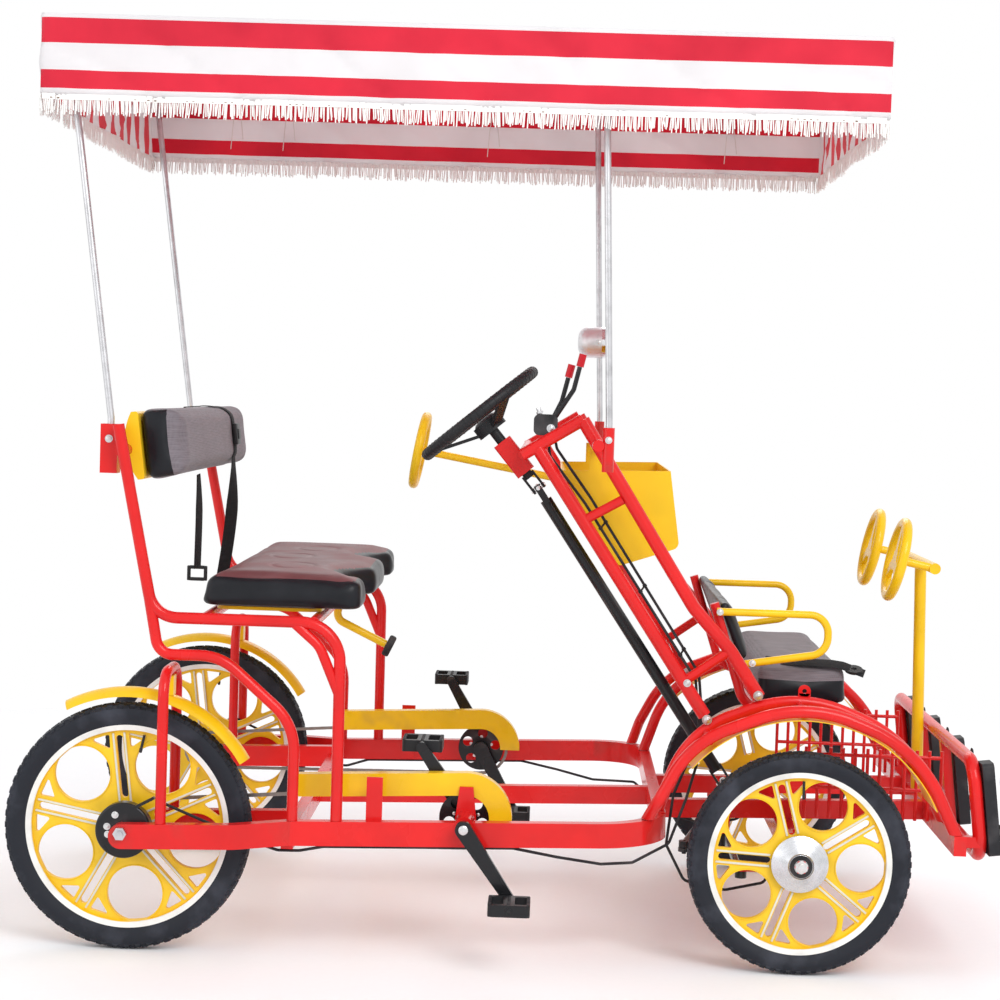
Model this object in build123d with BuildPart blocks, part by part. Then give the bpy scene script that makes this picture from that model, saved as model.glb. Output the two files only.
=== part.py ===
from build123d import *

import os
from math import cos, radians, sin, sqrt

os.makedirs("parts", exist_ok=True)

# Four-wheeled pedal surrey for two riders, with a small bench for children in front.
# Millimetres: +X is forward, +Y is the riders' left, +Z is up and the ground is Z = 0.
# Places along X are measured ahead of the rear axle and turned into X by ahead().

# Wheels and stance
wheelbase = 1373
half_track = 500
rear_tyre_radius = 254
front_tyre_radius = 228.5
tyre_width = 50
front_overhang = 409
axle_radius = 7
running_gap = 0.3
seat_gap = 0.4

# Main frame of rectangular tube
rail_height = 50
rail_width = 25
rail_half_track = half_track + 30
rail_axle_drop = 7
rail_rise = 0.0293
rail_corner_radius = 130
rail_nose_gap = 281
outer_stay_y = half_track + 75
inner_stay_y = half_track - 85
rear_cross_ahead = 330
low_rail_height = 40
low_rail_drop = 14
front_rail_y = 0.3 * half_track
nose_bar_gap = 317
nose_bar_half_width = half_track + 45

# Round tubes
frame_tube_radius = 12
ladder_tube_radius = 14
arch_tube_radius = 12.5
pole_radius = 7

# Seats
side_frame_y = rail_half_track
seat_rail_z = 687
bench_half_width = half_track - 17
bench_rear_ahead = 128
bench_depth = 339
bench_thickness = 68
bench_pan_thickness = 7
backrest_half_width = half_track - 40
backrest_height = 152
backrest_thickness = 84
backrest_tilt = 7.5
child_seat_half_width = half_track - 170

# Steering
kingpin_y = half_track - 80
kingpin_radius = 6
steering_arm_length = 110
pitman_length = 80
steering_y = half_track / 2
column_ahead = wheelbase - 138

# Pedal drives
crank_ahead = 690
crank_z = 285
crank_length = 170
crank_axle_radius = 8
chain_y = half_track - 52
chainring_tip_radius = 59
sprocket_tip_radius = 38
chain_height = 8
chain_width = 8

# Front bumper, toy wheels and canopy
bumper_half_width = half_track - 10
bumper_top_z = 445
bumper_bottom_z = 250
canopy_rear_ahead = -200
canopy_length = 1690
canopy_half_width = half_track + 100
canopy_top_z = 1885
cloth_thickness = 3
valance_height = 148
fringe_height = 47
pole_half_width = half_track - 10

# Derived places
front_reach = wheelbase + front_overhang
rear_axle_x = (rear_tyre_radius - front_reach) / 2
rail_cross_ahead = wheelbase - rail_nose_gap
rail_rear_z = rear_tyre_radius - rail_axle_drop
rail_nose_face = rail_cross_ahead + rail_width / 2 + 0.8
nose_ahead = wheelbase + nose_bar_gap
bench_bottom_z = seat_rail_z + frame_tube_radius + bench_pan_thickness


def ahead(distance):
    """X of a point that lies this far ahead of the rear axle."""
    return rear_axle_x + distance


def rail_z(distance):
    """Height of the main rail's centre line, which climbs gently forward."""
    return rail_rear_z + rail_rise * distance


def low_rail_z(distance):
    """Height of the centre line of the centre rail and the front rails."""
    return rail_z(distance) - low_rail_drop


def round_tube(points, radius, bend=0.0):
    """Add a round tube along straight runs joined by bends."""
    with BuildLine() as path:
        if len(points) == 2:
            Line(*points)
        else:
            FilletPolyline(*points, radius=bend)
    with BuildSketch(Plane(origin=path.line @ 0, z_dir=path.line % 0)) as section:
        Circle(radius)
    sweep(section.sketch, path=path.line)


def side_tube(points, y, radius, bend=0.0):
    """Add a round tube in an upright plane, from (distance ahead, height) pairs."""
    round_tube([(ahead(along), y, height) for along, height in points], radius, bend)


def flat_bar(start, end, width, height, across=(0, 1, 0)):
    """Add a straight rectangular bar whose width runs along the across direction."""
    run = Vector(end) - Vector(start)
    with BuildSketch(Plane(origin=start, x_dir=across, z_dir=run)) as section:
        Rectangle(width, height)
    extrude(section.sketch, amount=run.length)


def pin(centre, radius, length, direction=(0, 1, 0), mode=Mode.ADD):
    """Add or cut a round pin centred on a point."""
    base = Vector(centre) - Vector(direction).normalized() * (length / 2)
    with BuildSketch(Plane(origin=base, z_dir=direction)) as section:
        Circle(radius)
    extrude(section.sketch, amount=length, mode=mode)


def upright_plate(outline, y_low, thickness, corner=0.0):
    """Add a plate parallel to XZ, from (distance ahead, height) corners."""
    with BuildSketch(Plane.XZ.offset(-y_low - thickness)) as section:
        with BuildLine():
            Polyline(*[(ahead(along), height) for along, height in outline], close=True)
        make_face()
        if corner:
            fillet(section.vertices(), corner)
    extrude(section.sketch, amount=thickness)


# Main frame: a perimeter rail with wheel stays, a cross member and a centre rail
with BuildPart() as main_frame:
    with BuildLine() as rail_path:
        FilletPolyline(
            (ahead(0), -outer_stay_y, rail_z(0)),
            (ahead(225), -outer_stay_y, rail_z(225)),
            (ahead(rear_cross_ahead), -rail_half_track, rail_z(rear_cross_ahead)),
            (ahead(rail_cross_ahead), -rail_half_track, rail_z(rail_cross_ahead)),
            (ahead(rail_cross_ahead), 0, rail_z(rail_cross_ahead)),
            radius=[60, 60, rail_corner_radius],
        )
    rail_start = Plane(
        origin=rail_path.line @ 0, x_dir=(0, 1, 0), z_dir=rail_path.line % 0
    )
    with BuildSketch(rail_start) as rail_section:
        Rectangle(rail_width, rail_height)
    sweep(rail_section.sketch, path=rail_path.line)
    flat_bar(
        (ahead(0), -inner_stay_y, rail_z(0)),
        (ahead(rear_cross_ahead), -inner_stay_y, rail_z(rear_cross_ahead)),
        rail_width,
        rail_height,
    )
    flat_bar(
        (ahead(rear_cross_ahead), -rail_half_track, low_rail_z(rear_cross_ahead)),
        (ahead(rear_cross_ahead), 0, low_rail_z(rear_cross_ahead)),
        rail_width,
        low_rail_height,
        across=(1, 0, 0),
    )
    for stay_y in (outer_stay_y, inner_stay_y):
        pin((ahead(0), -stay_y, rail_z(0)), rail_height / 2, rail_width)
    shell_outer_y = rail_half_track + rail_width / 2 + 4
    shell_inner_y = chain_y + 8
    shell_length = shell_outer_y - shell_inner_y
    shell_middle = (ahead(crank_ahead), -(shell_outer_y + shell_inner_y) / 2, crank_z)
    pin(shell_middle, 20, shell_length)
    for stay_y in (outer_stay_y, inner_stay_y):
        axle_bore = (ahead(0), -stay_y, rear_tyre_radius)
        pin(axle_bore, axle_radius, rail_width + 2, mode=Mode.SUBTRACT)
    lug_outline = ((crank_ahead - 24, 266), (crank_ahead + 24, 266), (crank_ahead + 14, 352), (crank_ahead - 14, 352))
    upright_plate(lug_outline, -chain_y - 20, 5)
    guard_lug = ((488, 240), (521, 240), (521, 374), (488, 374))
    upright_plate(guard_lug, -rail_half_track + rail_width / 2, 4)
    crank_bore = crank_axle_radius + running_gap
    pin(shell_middle, crank_bore, shell_length + 2, mode=Mode.SUBTRACT)
    mirror(about=Plane.XZ)
    flat_bar(
        (ahead(rear_cross_ahead), 0, low_rail_z(rear_cross_ahead)),
        (ahead(rail_cross_ahead), 0, low_rail_z(rail_cross_ahead)),
        rail_width,
        low_rail_height,
    )
main_frame.part.label = "main_frame"
export_step(main_frame.part, "parts/main_frame.step")

# Front frame: twin rails, the nose bar and the axle beam with its kingpin bosses
axle_beam_size = 40
kingpin_boss_radius = 16
kingpin_boss_height = 70
column_bush_radius = 16
column_bush_low_z = 235
column_bush_height = 70
beam_z = low_rail_z(wheelbase) - (low_rail_height + axle_beam_size) / 2 + 1
with BuildPart() as front_frame:
    flat_bar(
        (ahead(rail_nose_face), -front_rail_y, low_rail_z(rail_nose_face)),
        (ahead(nose_ahead), -front_rail_y, low_rail_z(nose_ahead)),
        rail_width,
        low_rail_height,
    )
    flat_bar(
        (ahead(nose_ahead), -nose_bar_half_width, low_rail_z(nose_ahead)),
        (ahead(nose_ahead), 0, low_rail_z(nose_ahead)),
        rail_width,
        low_rail_height,
        across=(1, 0, 0),
    )
    flat_bar(
        (ahead(wheelbase), -kingpin_y, beam_z),
        (ahead(wheelbase), 0, beam_z),
        axle_beam_size,
        axle_beam_size,
        across=(1, 0, 0),
    )
    kingpin = (ahead(wheelbase), -kingpin_y, beam_z)
    pin(kingpin, kingpin_boss_radius, kingpin_boss_height, (0, 0, 1))
    bore_radius = kingpin_radius + running_gap
    pin(kingpin, bore_radius, kingpin_boss_height + 2, (0, 0, 1), mode=Mode.SUBTRACT)
    mirror(about=Plane.XZ)
    bush_centre = (ahead(column_ahead), -steering_y, column_bush_low_z + column_bush_height / 2)
    flat_bar(
        (ahead(column_ahead), -steering_y, low_rail_z(column_ahead)),
        (ahead(column_ahead), -front_rail_y, low_rail_z(column_ahead)),
        20,
        30,
        across=(1, 0, 0),
    )
    pin(bush_centre, column_bush_radius, column_bush_height, (0, 0, 1))
    pin(bush_centre, 9 + running_gap, column_bush_height + 2, (0, 0, 1), mode=Mode.SUBTRACT)
front_frame.part.label = "front_frame"
export_step(front_frame.part, "parts/front_frame.step")

# Rear axle pins with their nuts, outside and inside the stays
axle_nut_width = 24
axle_nut_height = 10
axle_end_y = outer_stay_y + rail_width / 2 + 16
axle_inner_y = inner_stay_y - rail_width / 2 - 14
with BuildPart() as rear_axles:
    axle_middle = (ahead(0), -(axle_end_y + axle_inner_y) / 2, rear_tyre_radius)
    pin(axle_middle, axle_radius, axle_end_y - axle_inner_y)
    for nut_face in (outer_stay_y + rail_width / 2, inner_stay_y - rail_width / 2 - axle_nut_height):
        with BuildSketch(Plane.XZ.offset(nut_face)) as nut_section:
            with Locations((ahead(0), rear_tyre_radius)):
                RegularPolygon(axle_nut_width / 2, 6, major_radius=False)
        extrude(nut_section.sketch, amount=axle_nut_height)
    mirror(about=Plane.XZ)
rear_axles.part.label = "rear_axles"
export_step(rear_axles.part, "parts/rear_axles.step")

# Rear band brakes: a fixed drum cover between each wheel and its outer stay
drum_radius = 57
drum_outer_y = outer_stay_y - rail_width / 2
drum_depth = 26
with BuildPart() as brake_drums:
    drum_centre = (ahead(0), -(drum_outer_y - drum_depth / 2), rear_tyre_radius)
    pin(drum_centre, drum_radius, drum_depth)
    fillet(brake_drums.edges().filter_by(GeomType.CIRCLE).sort_by(Axis.Y)[0], 6)
    pin(drum_centre, axle_radius, drum_depth + 2, mode=Mode.SUBTRACT)
    flat_bar(
        (ahead(18), -(drum_outer_y - 6), rear_tyre_radius + drum_radius - 12),
        (ahead(62), -(drum_outer_y - 6), rear_tyre_radius + drum_radius + 12),
        12,
        6,
    )
    mirror(about=Plane.XZ)
brake_drums.part.label = "brake_drums"
export_step(brake_drums.part, "parts/brake_drums.step")

# Wheels: each right-hand wheel is built first and mirrored for the left
rim_wall = 4
rim_width = 36
web_thickness = 12
hole_count = 5
slot_width = 15
hub_tube_radius = 24
hub_inner = 42
# wheel, distance ahead, tyre radius, rim radius, hole radius, hole circle, hub's outer reach, turn
wheel_table = [
    ("rear", 0, rear_tyre_radius, 209, 57, 141, 30, 61),
    ("front", wheelbase, front_tyre_radius, 187, 50, 125, 16, 69),
]
wheels = {}
for name, along, tyre_radius, rim_radius, hole_radius, hole_circle, hub_outer, turn in wheel_table:
    centre = (ahead(along), -half_track, tyre_radius)
    spin_axis = Axis(centre, (0, 1, 0))
    section_plane = Plane(origin=centre, x_dir=(1, 0, 0), z_dir=(0, 0, -1))
    face_plane = Plane(origin=centre, x_dir=(1, 0, 0), z_dir=(0, -1, 0))
    half = tyre_width / 2
    bead = rim_width / 2 - 2
    bead_radius = rim_radius + running_gap

    with BuildPart() as tyre:
        with BuildSketch(section_plane) as tyre_section:
            with BuildLine():
                Line((bead_radius, -bead), (bead_radius, bead))
                ThreePointArc(
                    (bead_radius, bead),
                    (bead_radius + 20, half),
                    (tyre_radius - 9, half - 6),
                )
                ThreePointArc(
                    (tyre_radius - 9, half - 6),
                    (tyre_radius, 0),
                    (tyre_radius - 9, 6 - half),
                )
                ThreePointArc(
                    (tyre_radius - 9, 6 - half),
                    (bead_radius + 20, -half),
                    (bead_radius, -bead),
                )
            make_face()
        revolve(tyre_section.sketch, axis=spin_axis)
    wheels[name + "_tyre"] = tyre.part

    with BuildPart() as mag:
        with BuildSketch(section_plane) as rim_section:
            with BuildLine():
                Polyline(
                    (rim_radius, -rim_width / 2),
                    (rim_radius, rim_width / 2),
                    (rim_radius - 11, rim_width / 2 - 2),
                    (rim_radius - 13, web_thickness / 2),
                    (rim_radius - 13, -web_thickness / 2),
                    (rim_radius - 11, 2 - rim_width / 2),
                    close=True,
                )
            make_face()
        revolve(rim_section.sketch, axis=spin_axis)
        with BuildSketch(face_plane.offset(-web_thickness / 2)) as web:
            Circle(rim_radius - 12)
            with PolarLocations(hole_circle, hole_count, start_angle=turn):
                Circle(hole_radius, mode=Mode.SUBTRACT)
            slot_from = hub_tube_radius + 34
            slot_to = rim_radius - 22
            with PolarLocations((slot_from + slot_to) / 2, hole_count, start_angle=turn + 36):
                SlotOverall(slot_to - slot_from, slot_width, mode=Mode.SUBTRACT)
            for spoke in range(hole_count):
                for window_side in (-1, 1):
                    spoke_angle = turn + 36 + 72 * spoke
                    corners = []
                    for reach, lean in ((rim_radius - 18, 6), (rim_radius - 18, 18.5), (rim_radius - 49, 7.5)):
                        corner_angle = radians(spoke_angle + lean * window_side)
                        corners.append((reach * cos(corner_angle), reach * sin(corner_angle)))
                    with BuildLine():
                        FilletPolyline(*corners, radius=3.5, close=True)
                    make_face(mode=Mode.SUBTRACT)
        extrude(web.sketch, amount=web_thickness)
        hub_middle = (ahead(along), -half_track + (hub_inner - hub_outer) / 2, tyre_radius)
        hub_length = hub_inner + hub_outer
        pin(hub_middle, hub_tube_radius, hub_length)
        pin(hub_middle, axle_radius + running_gap, hub_length + 2, mode=Mode.SUBTRACT)
    wheels[name + "_wheel"] = mag.part

# The front wheel's bright cone hub cap and the rear wheel's chain sprocket
cone_radius = 58
cone_depth = 26
hub_face_y = half_track + 16 + cone_depth
with BuildPart() as front_cone:
    centre = (ahead(wheelbase), -hub_face_y, front_tyre_radius)
    with BuildSketch(Plane(origin=centre, x_dir=(1, 0, 0), z_dir=(0, 0, -1))) as cone_section:
        with BuildLine():
            Polyline(
                (axle_radius + 8, -cone_depth),
                (cone_radius, -cone_depth),
                (cone_radius, 4 - cone_depth),
                (20, 0),
                (axle_radius + 8, 0),
                close=True,
            )
        make_face()
    revolve(cone_section.sketch, axis=Axis(centre, (0, 1, 0)))
wheels["front_hub_cone"] = front_cone.part

chain_pitch = 12.7
sprocket_teeth = 18
chainring_teeth = 28


def toothed_disc(centre, tip_radius, teeth, thickness):
    """Add a flat toothed disc that lies parallel to XZ."""
    face = Plane(origin=centre, x_dir=(1, 0, 0), z_dir=(0, -1, 0))
    with BuildSketch(face.offset(-thickness / 2)) as disc:
        Circle(tip_radius - 3.5)
        with PolarLocations(0, teeth):
            with BuildLine():
                Polyline(
                    (tip_radius - 5, -3.4),
                    (tip_radius, -1.2),
                    (tip_radius, 1.2),
                    (tip_radius - 5, 3.4),
                    close=True,
                )
            make_face()
    extrude(disc.sketch, amount=thickness)


with BuildPart() as sprocket:
    toothed_disc((ahead(0), -chain_y, rear_tyre_radius), sprocket_tip_radius, sprocket_teeth, 3)
    pin((ahead(0), -chain_y - 4, rear_tyre_radius), 20, 12)
    pin((ahead(0), -chain_y, rear_tyre_radius), axle_radius + running_gap, 30, mode=Mode.SUBTRACT)
wheels["rear_sprocket"] = sprocket.part

for name, solid in wheels.items():
    for side in ("right", "left"):
        piece = solid if side == "right" else mirror(solid, about=Plane.XZ)
        piece.label = f"{name}_{side}"
        export_step(piece, f"parts/{name}_{side}.step")

# Knuckles: a yoke round the kingpin boss, a stub axle and a steering arm to the rear
yoke_plate = 8
yoke_gap = 0.5
yoke_half = kingpin_boss_height / 2 + yoke_gap
arm_z = beam_z - yoke_half - yoke_plate / 2
arm_pin_radius = 5
arm_eye_radius = 13
web_y = kingpin_y + kingpin_boss_radius + 4
stub_end_y = hub_face_y + 12
with BuildPart() as knuckle_right:
    kingpin = (ahead(wheelbase), -kingpin_y, beam_z)
    arm_end = (ahead(wheelbase - steering_arm_length), -kingpin_y)
    link_hole = (ahead(wheelbase - pitman_length), -kingpin_y)
    for low in (beam_z + yoke_half, beam_z - yoke_half - yoke_plate):
        with BuildSketch(Plane.XY.offset(low)) as cheek:
            with Locations(kingpin[:2]):
                Circle(18)
            with Locations((ahead(wheelbase), -(kingpin_y + web_y + 8) / 2)):
                Rectangle(36, web_y + 8 - kingpin_y)
        extrude(cheek.sketch, amount=yoke_plate)
    with BuildSketch(Plane.XZ.offset(web_y)) as web:
        with Locations((ahead(wheelbase), beam_z)):
            Rectangle(36, 2 * (yoke_half + yoke_plate))
    extrude(web.sketch, amount=8)
    pin(kingpin, kingpin_radius, 2 * (yoke_half + yoke_plate) + 8, (0, 0, 1))
    stub_middle = (ahead(wheelbase), -(web_y + stub_end_y) / 2, front_tyre_radius)
    pin(stub_middle, axle_radius, stub_end_y - web_y)
    nut_plane = Plane.XZ.offset(hub_face_y - 3)
    with BuildSketch(nut_plane) as stub_nut:
        with Locations((ahead(wheelbase), front_tyre_radius)):
            RegularPolygon(12, 6, major_radius=False)
    extrude(stub_nut.sketch, amount=10)
    with BuildSketch(Plane.XY.offset(arm_z - yoke_plate / 2)) as arm:
        with BuildLine():
            Polyline(
                (ahead(wheelbase), -kingpin_y - 14),
                (ahead(wheelbase), -kingpin_y + 14),
                (arm_end[0], arm_end[1] + 11),
                (arm_end[0], arm_end[1] - 11),
                close=True,
            )
        make_face()
        with Locations(arm_end, link_hole):
            Circle(arm_eye_radius)
        with Locations(arm_end, link_hole):
            Circle(arm_pin_radius + running_gap, mode=Mode.SUBTRACT)
    extrude(arm.sketch, amount=yoke_plate)
knuckle_right.part.label = "knuckle_right"
export_step(knuckle_right.part, "parts/knuckle_right.step")
knuckle_left = mirror(knuckle_right.part, about=Plane.XZ)
knuckle_left.label = "knuckle_left"
export_step(knuckle_left, "parts/knuckle_left.step")

# Track rod under the arms and drag link above them, each with a pin at both ends
rod_radius = 8
rod_eye_radius = 12
rod_eye_height = 14
rod_offset = yoke_plate / 2 + 1 + rod_eye_height / 2


def steering_rod(start, end, pin_direction):
    """Add a rod with an eye and a pin at each end; the pins point up or down."""
    run = Vector(end) - Vector(start)
    pin((Vector(start) + Vector(end)) * 0.5, rod_radius, run.length, run)
    for end_x, end_y, end_z in (start, end):
        pin((end_x, end_y, end_z), rod_eye_radius, rod_eye_height, (0, 0, 1))
        pin((end_x, end_y, end_z + pin_direction * 10), arm_pin_radius, 22, (0, 0, 1))


arm_end_ahead = wheelbase - steering_arm_length
track_rod_z = arm_z - rod_offset
drag_link_z = arm_z + rod_offset
with BuildPart() as track_rod:
    steering_rod(
        (ahead(arm_end_ahead), -kingpin_y, track_rod_z),
        (ahead(arm_end_ahead), kingpin_y, track_rod_z),
        1,
    )
track_rod.part.label = "track_rod"
export_step(track_rod.part, "parts/track_rod.step")

pitman_ahead = column_ahead - pitman_length
with BuildPart() as drag_link:
    steering_rod(
        (ahead(pitman_ahead), -steering_y, drag_link_z),
        (ahead(wheelbase - pitman_length), kingpin_y, drag_link_z),
        -1,
    )
drag_link.part.label = "drag_link"
export_step(drag_link.part, "parts/drag_link.step")

# Steering column: wheel shaft, sloping shaft and upright stub, joined by two cross joints
wheel_centre = Vector(ahead(wheelbase - 688), -steering_y, 1118)
upper_joint = Vector(ahead(wheelbase - 558), -steering_y, 963)
lower_joint = Vector(ahead(column_ahead), -steering_y, 345)
steering_wheel_radius = 142
steering_rim_radius = 12
wheel_axis = (wheel_centre - upper_joint).normalized()
shaft_axis = (upper_joint - lower_joint).normalized()
stub_axis = Vector(0, 0, 1)
shaft_radius = 13
stub_radius = 9
yoke_reach = 20
yoke_base = 30


def yoke(joint, axis, across):
    """Add a two-cheeked fork at a cross joint, its cheeks apart along the across direction."""
    along = axis.normalized()
    for sign in (-1, 1):
        cheek_middle = joint + across * (sign * 12.5) + along * (yoke_base / 2)
        flat_bar(
            (cheek_middle - along * (yoke_base / 2 + 7)),
            (cheek_middle + along * (yoke_base / 2)),
            5,
            14,
            across=across,
        )
    foot = joint + along * (yoke_base + 3)
    flat_bar(
        (foot - along * 5),
        (foot + along * 5),
        30,
        14,
        across=across,
    )


side = Vector(0, 1, 0)
cross_reach = 18.4
with BuildPart() as steering_stub:
    stub_top = lower_joint - stub_axis * yoke_base
    stub_bottom_z = arm_z - yoke_plate / 2
    stub_middle_z = (stub_top.Z + stub_bottom_z) / 2
    stub_point = (ahead(column_ahead), -steering_y, stub_middle_z)
    pin(stub_point, stub_radius, stub_top.Z - stub_bottom_z, (0, 0, 1))
    yoke(lower_joint, stub_axis * -1, side)
    with BuildSketch(Plane.XY.offset(arm_z - yoke_plate / 2)) as pitman:
        with BuildLine():
            Polyline(
                (ahead(column_ahead), -steering_y - 15),
                (ahead(column_ahead), -steering_y + 15),
                (ahead(pitman_ahead), -steering_y + 11),
                (ahead(pitman_ahead), -steering_y - 11),
                close=True,
            )
        make_face()
        with Locations((ahead(column_ahead), -steering_y)):
            Circle(16)
        with Locations((ahead(pitman_ahead), -steering_y)):
            Circle(arm_eye_radius)
            Circle(arm_pin_radius + running_gap, mode=Mode.SUBTRACT)
    extrude(pitman.sketch, amount=yoke_plate)
steering_stub.part.label = "steering_stub"
export_step(steering_stub.part, "parts/steering_stub.step")

with BuildPart() as steering_shaft:
    shaft_low = lower_joint + shaft_axis * yoke_base
    shaft_high = upper_joint - shaft_axis * yoke_base
    shaft_middle = (shaft_low + shaft_high) * 0.5
    shaft_run = shaft_high - shaft_low
    pin(shaft_middle, shaft_radius, shaft_run.length, shaft_axis)
    yoke(lower_joint, shaft_axis, shaft_axis.cross(side))
    yoke(upper_joint, shaft_axis * -1, side)
    pin(lower_joint, 4, 20, shaft_axis.cross(side))
    pin(upper_joint, 4, 20, (0, 1, 0))
    pin(lower_joint, 3.5, cross_reach, (0, 1, 0))
    pin(upper_joint, 3.5, cross_reach, wheel_axis.cross(side))
steering_shaft.part.label = "steering_shaft"
export_step(steering_shaft.part, "parts/steering_shaft.step")

hub_drop = 42
head_shaft_radius = 11
with BuildPart() as steering_wheel:
    rim_plane = Plane(origin=wheel_centre, x_dir=(0, 1, 0), z_dir=wheel_axis)
    with BuildLine(rim_plane) as rim_path:
        CenterArc((0, 0), steering_wheel_radius, 0, 360)
    with BuildSketch(Plane(origin=rim_path.line @ 0, z_dir=rim_path.line % 0)) as rim_section:
        Circle(steering_rim_radius)
    sweep(rim_section.sketch, path=rim_path.line)
    hub_centre = wheel_centre - wheel_axis * hub_drop
    pin((hub_centre + wheel_axis * 8), 34, 26, wheel_axis)
    for angle in (90, 210, 330):
        spoke = rim_plane.x_dir * cos(radians(angle)) + rim_plane.y_dir * sin(radians(angle))
        flat_bar(
            (hub_centre + spoke * 20),
            (wheel_centre + spoke * (steering_wheel_radius - 4)),
            26,
            7,
            across=wheel_axis.cross(spoke),
        )
    head_low = upper_joint + wheel_axis * yoke_base
    head_run = hub_centre - head_low
    pin(
        ((hub_centre + head_low) * 0.5),
        head_shaft_radius,
        head_run.length,
        wheel_axis,
    )
    yoke(upper_joint, wheel_axis, wheel_axis.cross(side))
steering_wheel.part.label = "steering_wheel"
export_step(steering_wheel.part, "parts/steering_wheel.step")

# Pedal cranks: an axle with a chainring, two arms in line and a pedal on each
arm_thickness = 13
outer_arm_y = half_track + 76
inner_arm_y = half_track - 76
ring_holes = 5
pedal_length = 88
pedal_width = 84
pedal_height = 24
pedal_gap = 4
# side, the outer arm's angle from straight ahead
crank_table = [("right", -1, -55), ("left", 1, 120)]
for name, sign, outer_angle in crank_table:
    crank_centre = Vector(ahead(crank_ahead), 0, crank_z)
    facing = (0, -1, 0)

    def crank_point(radius, angle, y):
        """A point at a radius and angle round the crank axle."""
        swing = radians(angle)
        return (crank_centre.X + radius * cos(swing), sign * y, crank_centre.Z + radius * sin(swing))

    with BuildPart() as cranks:
        axle_from = inner_arm_y - arm_thickness / 2
        axle_to = outer_arm_y + arm_thickness / 2
        pin(crank_point(0, 0, (axle_from + axle_to) / 2), crank_axle_radius, axle_to - axle_from)
        for arm_y, arm_angle in ((outer_arm_y, outer_angle), (inner_arm_y, outer_angle + 180)):
            arm_face = Plane(origin=crank_point(0, 0, arm_y), x_dir=(1, 0, 0), z_dir=facing)
            swing = radians(arm_angle)
            with BuildSketch(arm_face.offset(-arm_thickness / 2)) as arm:
                Circle(17)
                with Locations((crank_length * cos(swing), crank_length * sin(swing))):
                    Circle(11)
                make_hull()
            extrude(arm.sketch, amount=arm_thickness)
        ring_centre = crank_point(0, 0, chain_y)
        toothed_disc(ring_centre, chainring_tip_radius, chainring_teeth, 3)
        ring_face = Plane(origin=ring_centre, x_dir=(1, 0, 0), z_dir=facing)
        with BuildSketch(ring_face.offset(-3)) as ring_cuts:
            with PolarLocations(36, ring_holes, start_angle=outer_angle + 36):
                Circle(12)
        extrude(ring_cuts.sketch, amount=6, mode=Mode.SUBTRACT)
        pin(crank_point(0, 0, chain_y), 20, 8)
        for arm_y, arm_angle, out in ((outer_arm_y, outer_angle, 1), (inner_arm_y, outer_angle + 180, -1)):
            spindle_y = arm_y + out * (arm_thickness / 2 + (pedal_length + pedal_gap) / 2)
            pin(crank_point(crank_length, arm_angle, spindle_y), 6, pedal_length + pedal_gap)
    cranks.part.label = f"cranks_{name}"
    export_step(cranks.part, f"parts/cranks_{name}.step")

    with BuildPart() as pedals:
        for arm_y, arm_angle, out in ((outer_arm_y, outer_angle, 1), (inner_arm_y, outer_angle + 180, -1)):
            pedal_y = arm_y + out * (arm_thickness / 2 + pedal_gap + pedal_length / 2)
            pedal_x, pedal_side, pedal_z = crank_point(crank_length, arm_angle, pedal_y)
            with BuildSketch(Plane.XY.offset(pedal_z - pedal_height / 2)) as tread:
                with Locations((pedal_x, pedal_side)):
                    RectangleRounded(pedal_width, pedal_length, 10)
                    with GridLocations(pedal_width * 0.56, 0, 2, 1):
                        RectangleRounded(24, pedal_length - 24, 4, mode=Mode.SUBTRACT)
            extrude(tread.sketch, amount=pedal_height)
            bore = 6 + running_gap
            pin((pedal_x, pedal_side, pedal_z), bore, pedal_length + 2, mode=Mode.SUBTRACT)
    pedals.part.label = f"pedals_{name}"
    export_step(pedals.part, f"parts/pedals_{name}.step")

# Seat frame: side loops, cross tubes and the sockets for the rear canopy poles
back_tube_z = 1022
back_tube_ahead = -30
pole_socket_ahead = -58
pole_socket_width = 35
pole_socket_height = 100
upright_top = (-35, 1075)
upright_foot = (45, seat_rail_z)
brace_radius = 11.4
with BuildPart() as seat_frame:
    rail_top = rail_height / 2
    loop = (upright_top, upright_foot, (427, seat_rail_z), (429, rail_z(429) + rail_top + seat_gap))
    low_loop = ((33, 745), (58, 612), (185, 612), (339, 478), (339, rail_z(339) + rail_top + seat_gap))
    corner_brace = ((330, seat_rail_z), (385, 640), (428, 540))
    for run, radius, bends in (
        (loop, frame_tube_radius, [60, 80]),
        (low_loop, brace_radius, [35, 110, 120]),
        (corner_brace, 10.5, [60]),
    ):
        side_tube(run, -side_frame_y, radius, bends)
    mirror(about=Plane.XZ)
    for tube_ahead, tube_z in ((150, seat_rail_z), (372, seat_rail_z), (back_tube_ahead, back_tube_z)):
        pin((ahead(tube_ahead), 0, tube_z + 0.4), brace_radius, 2 * side_frame_y)
    for y in (-pole_half_width, pole_half_width):
        with BuildSketch(Plane.XY.offset(975)) as socket:
            with Locations((ahead(pole_socket_ahead), y)):
                Rectangle(pole_socket_width, pole_socket_width)
                Circle(pole_radius + running_gap, mode=Mode.SUBTRACT)
        extrude(socket.sketch, amount=pole_socket_height)
seat_frame.part.label = "seat_frame"
export_step(seat_frame.part, "parts/seat_frame.step")

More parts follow.
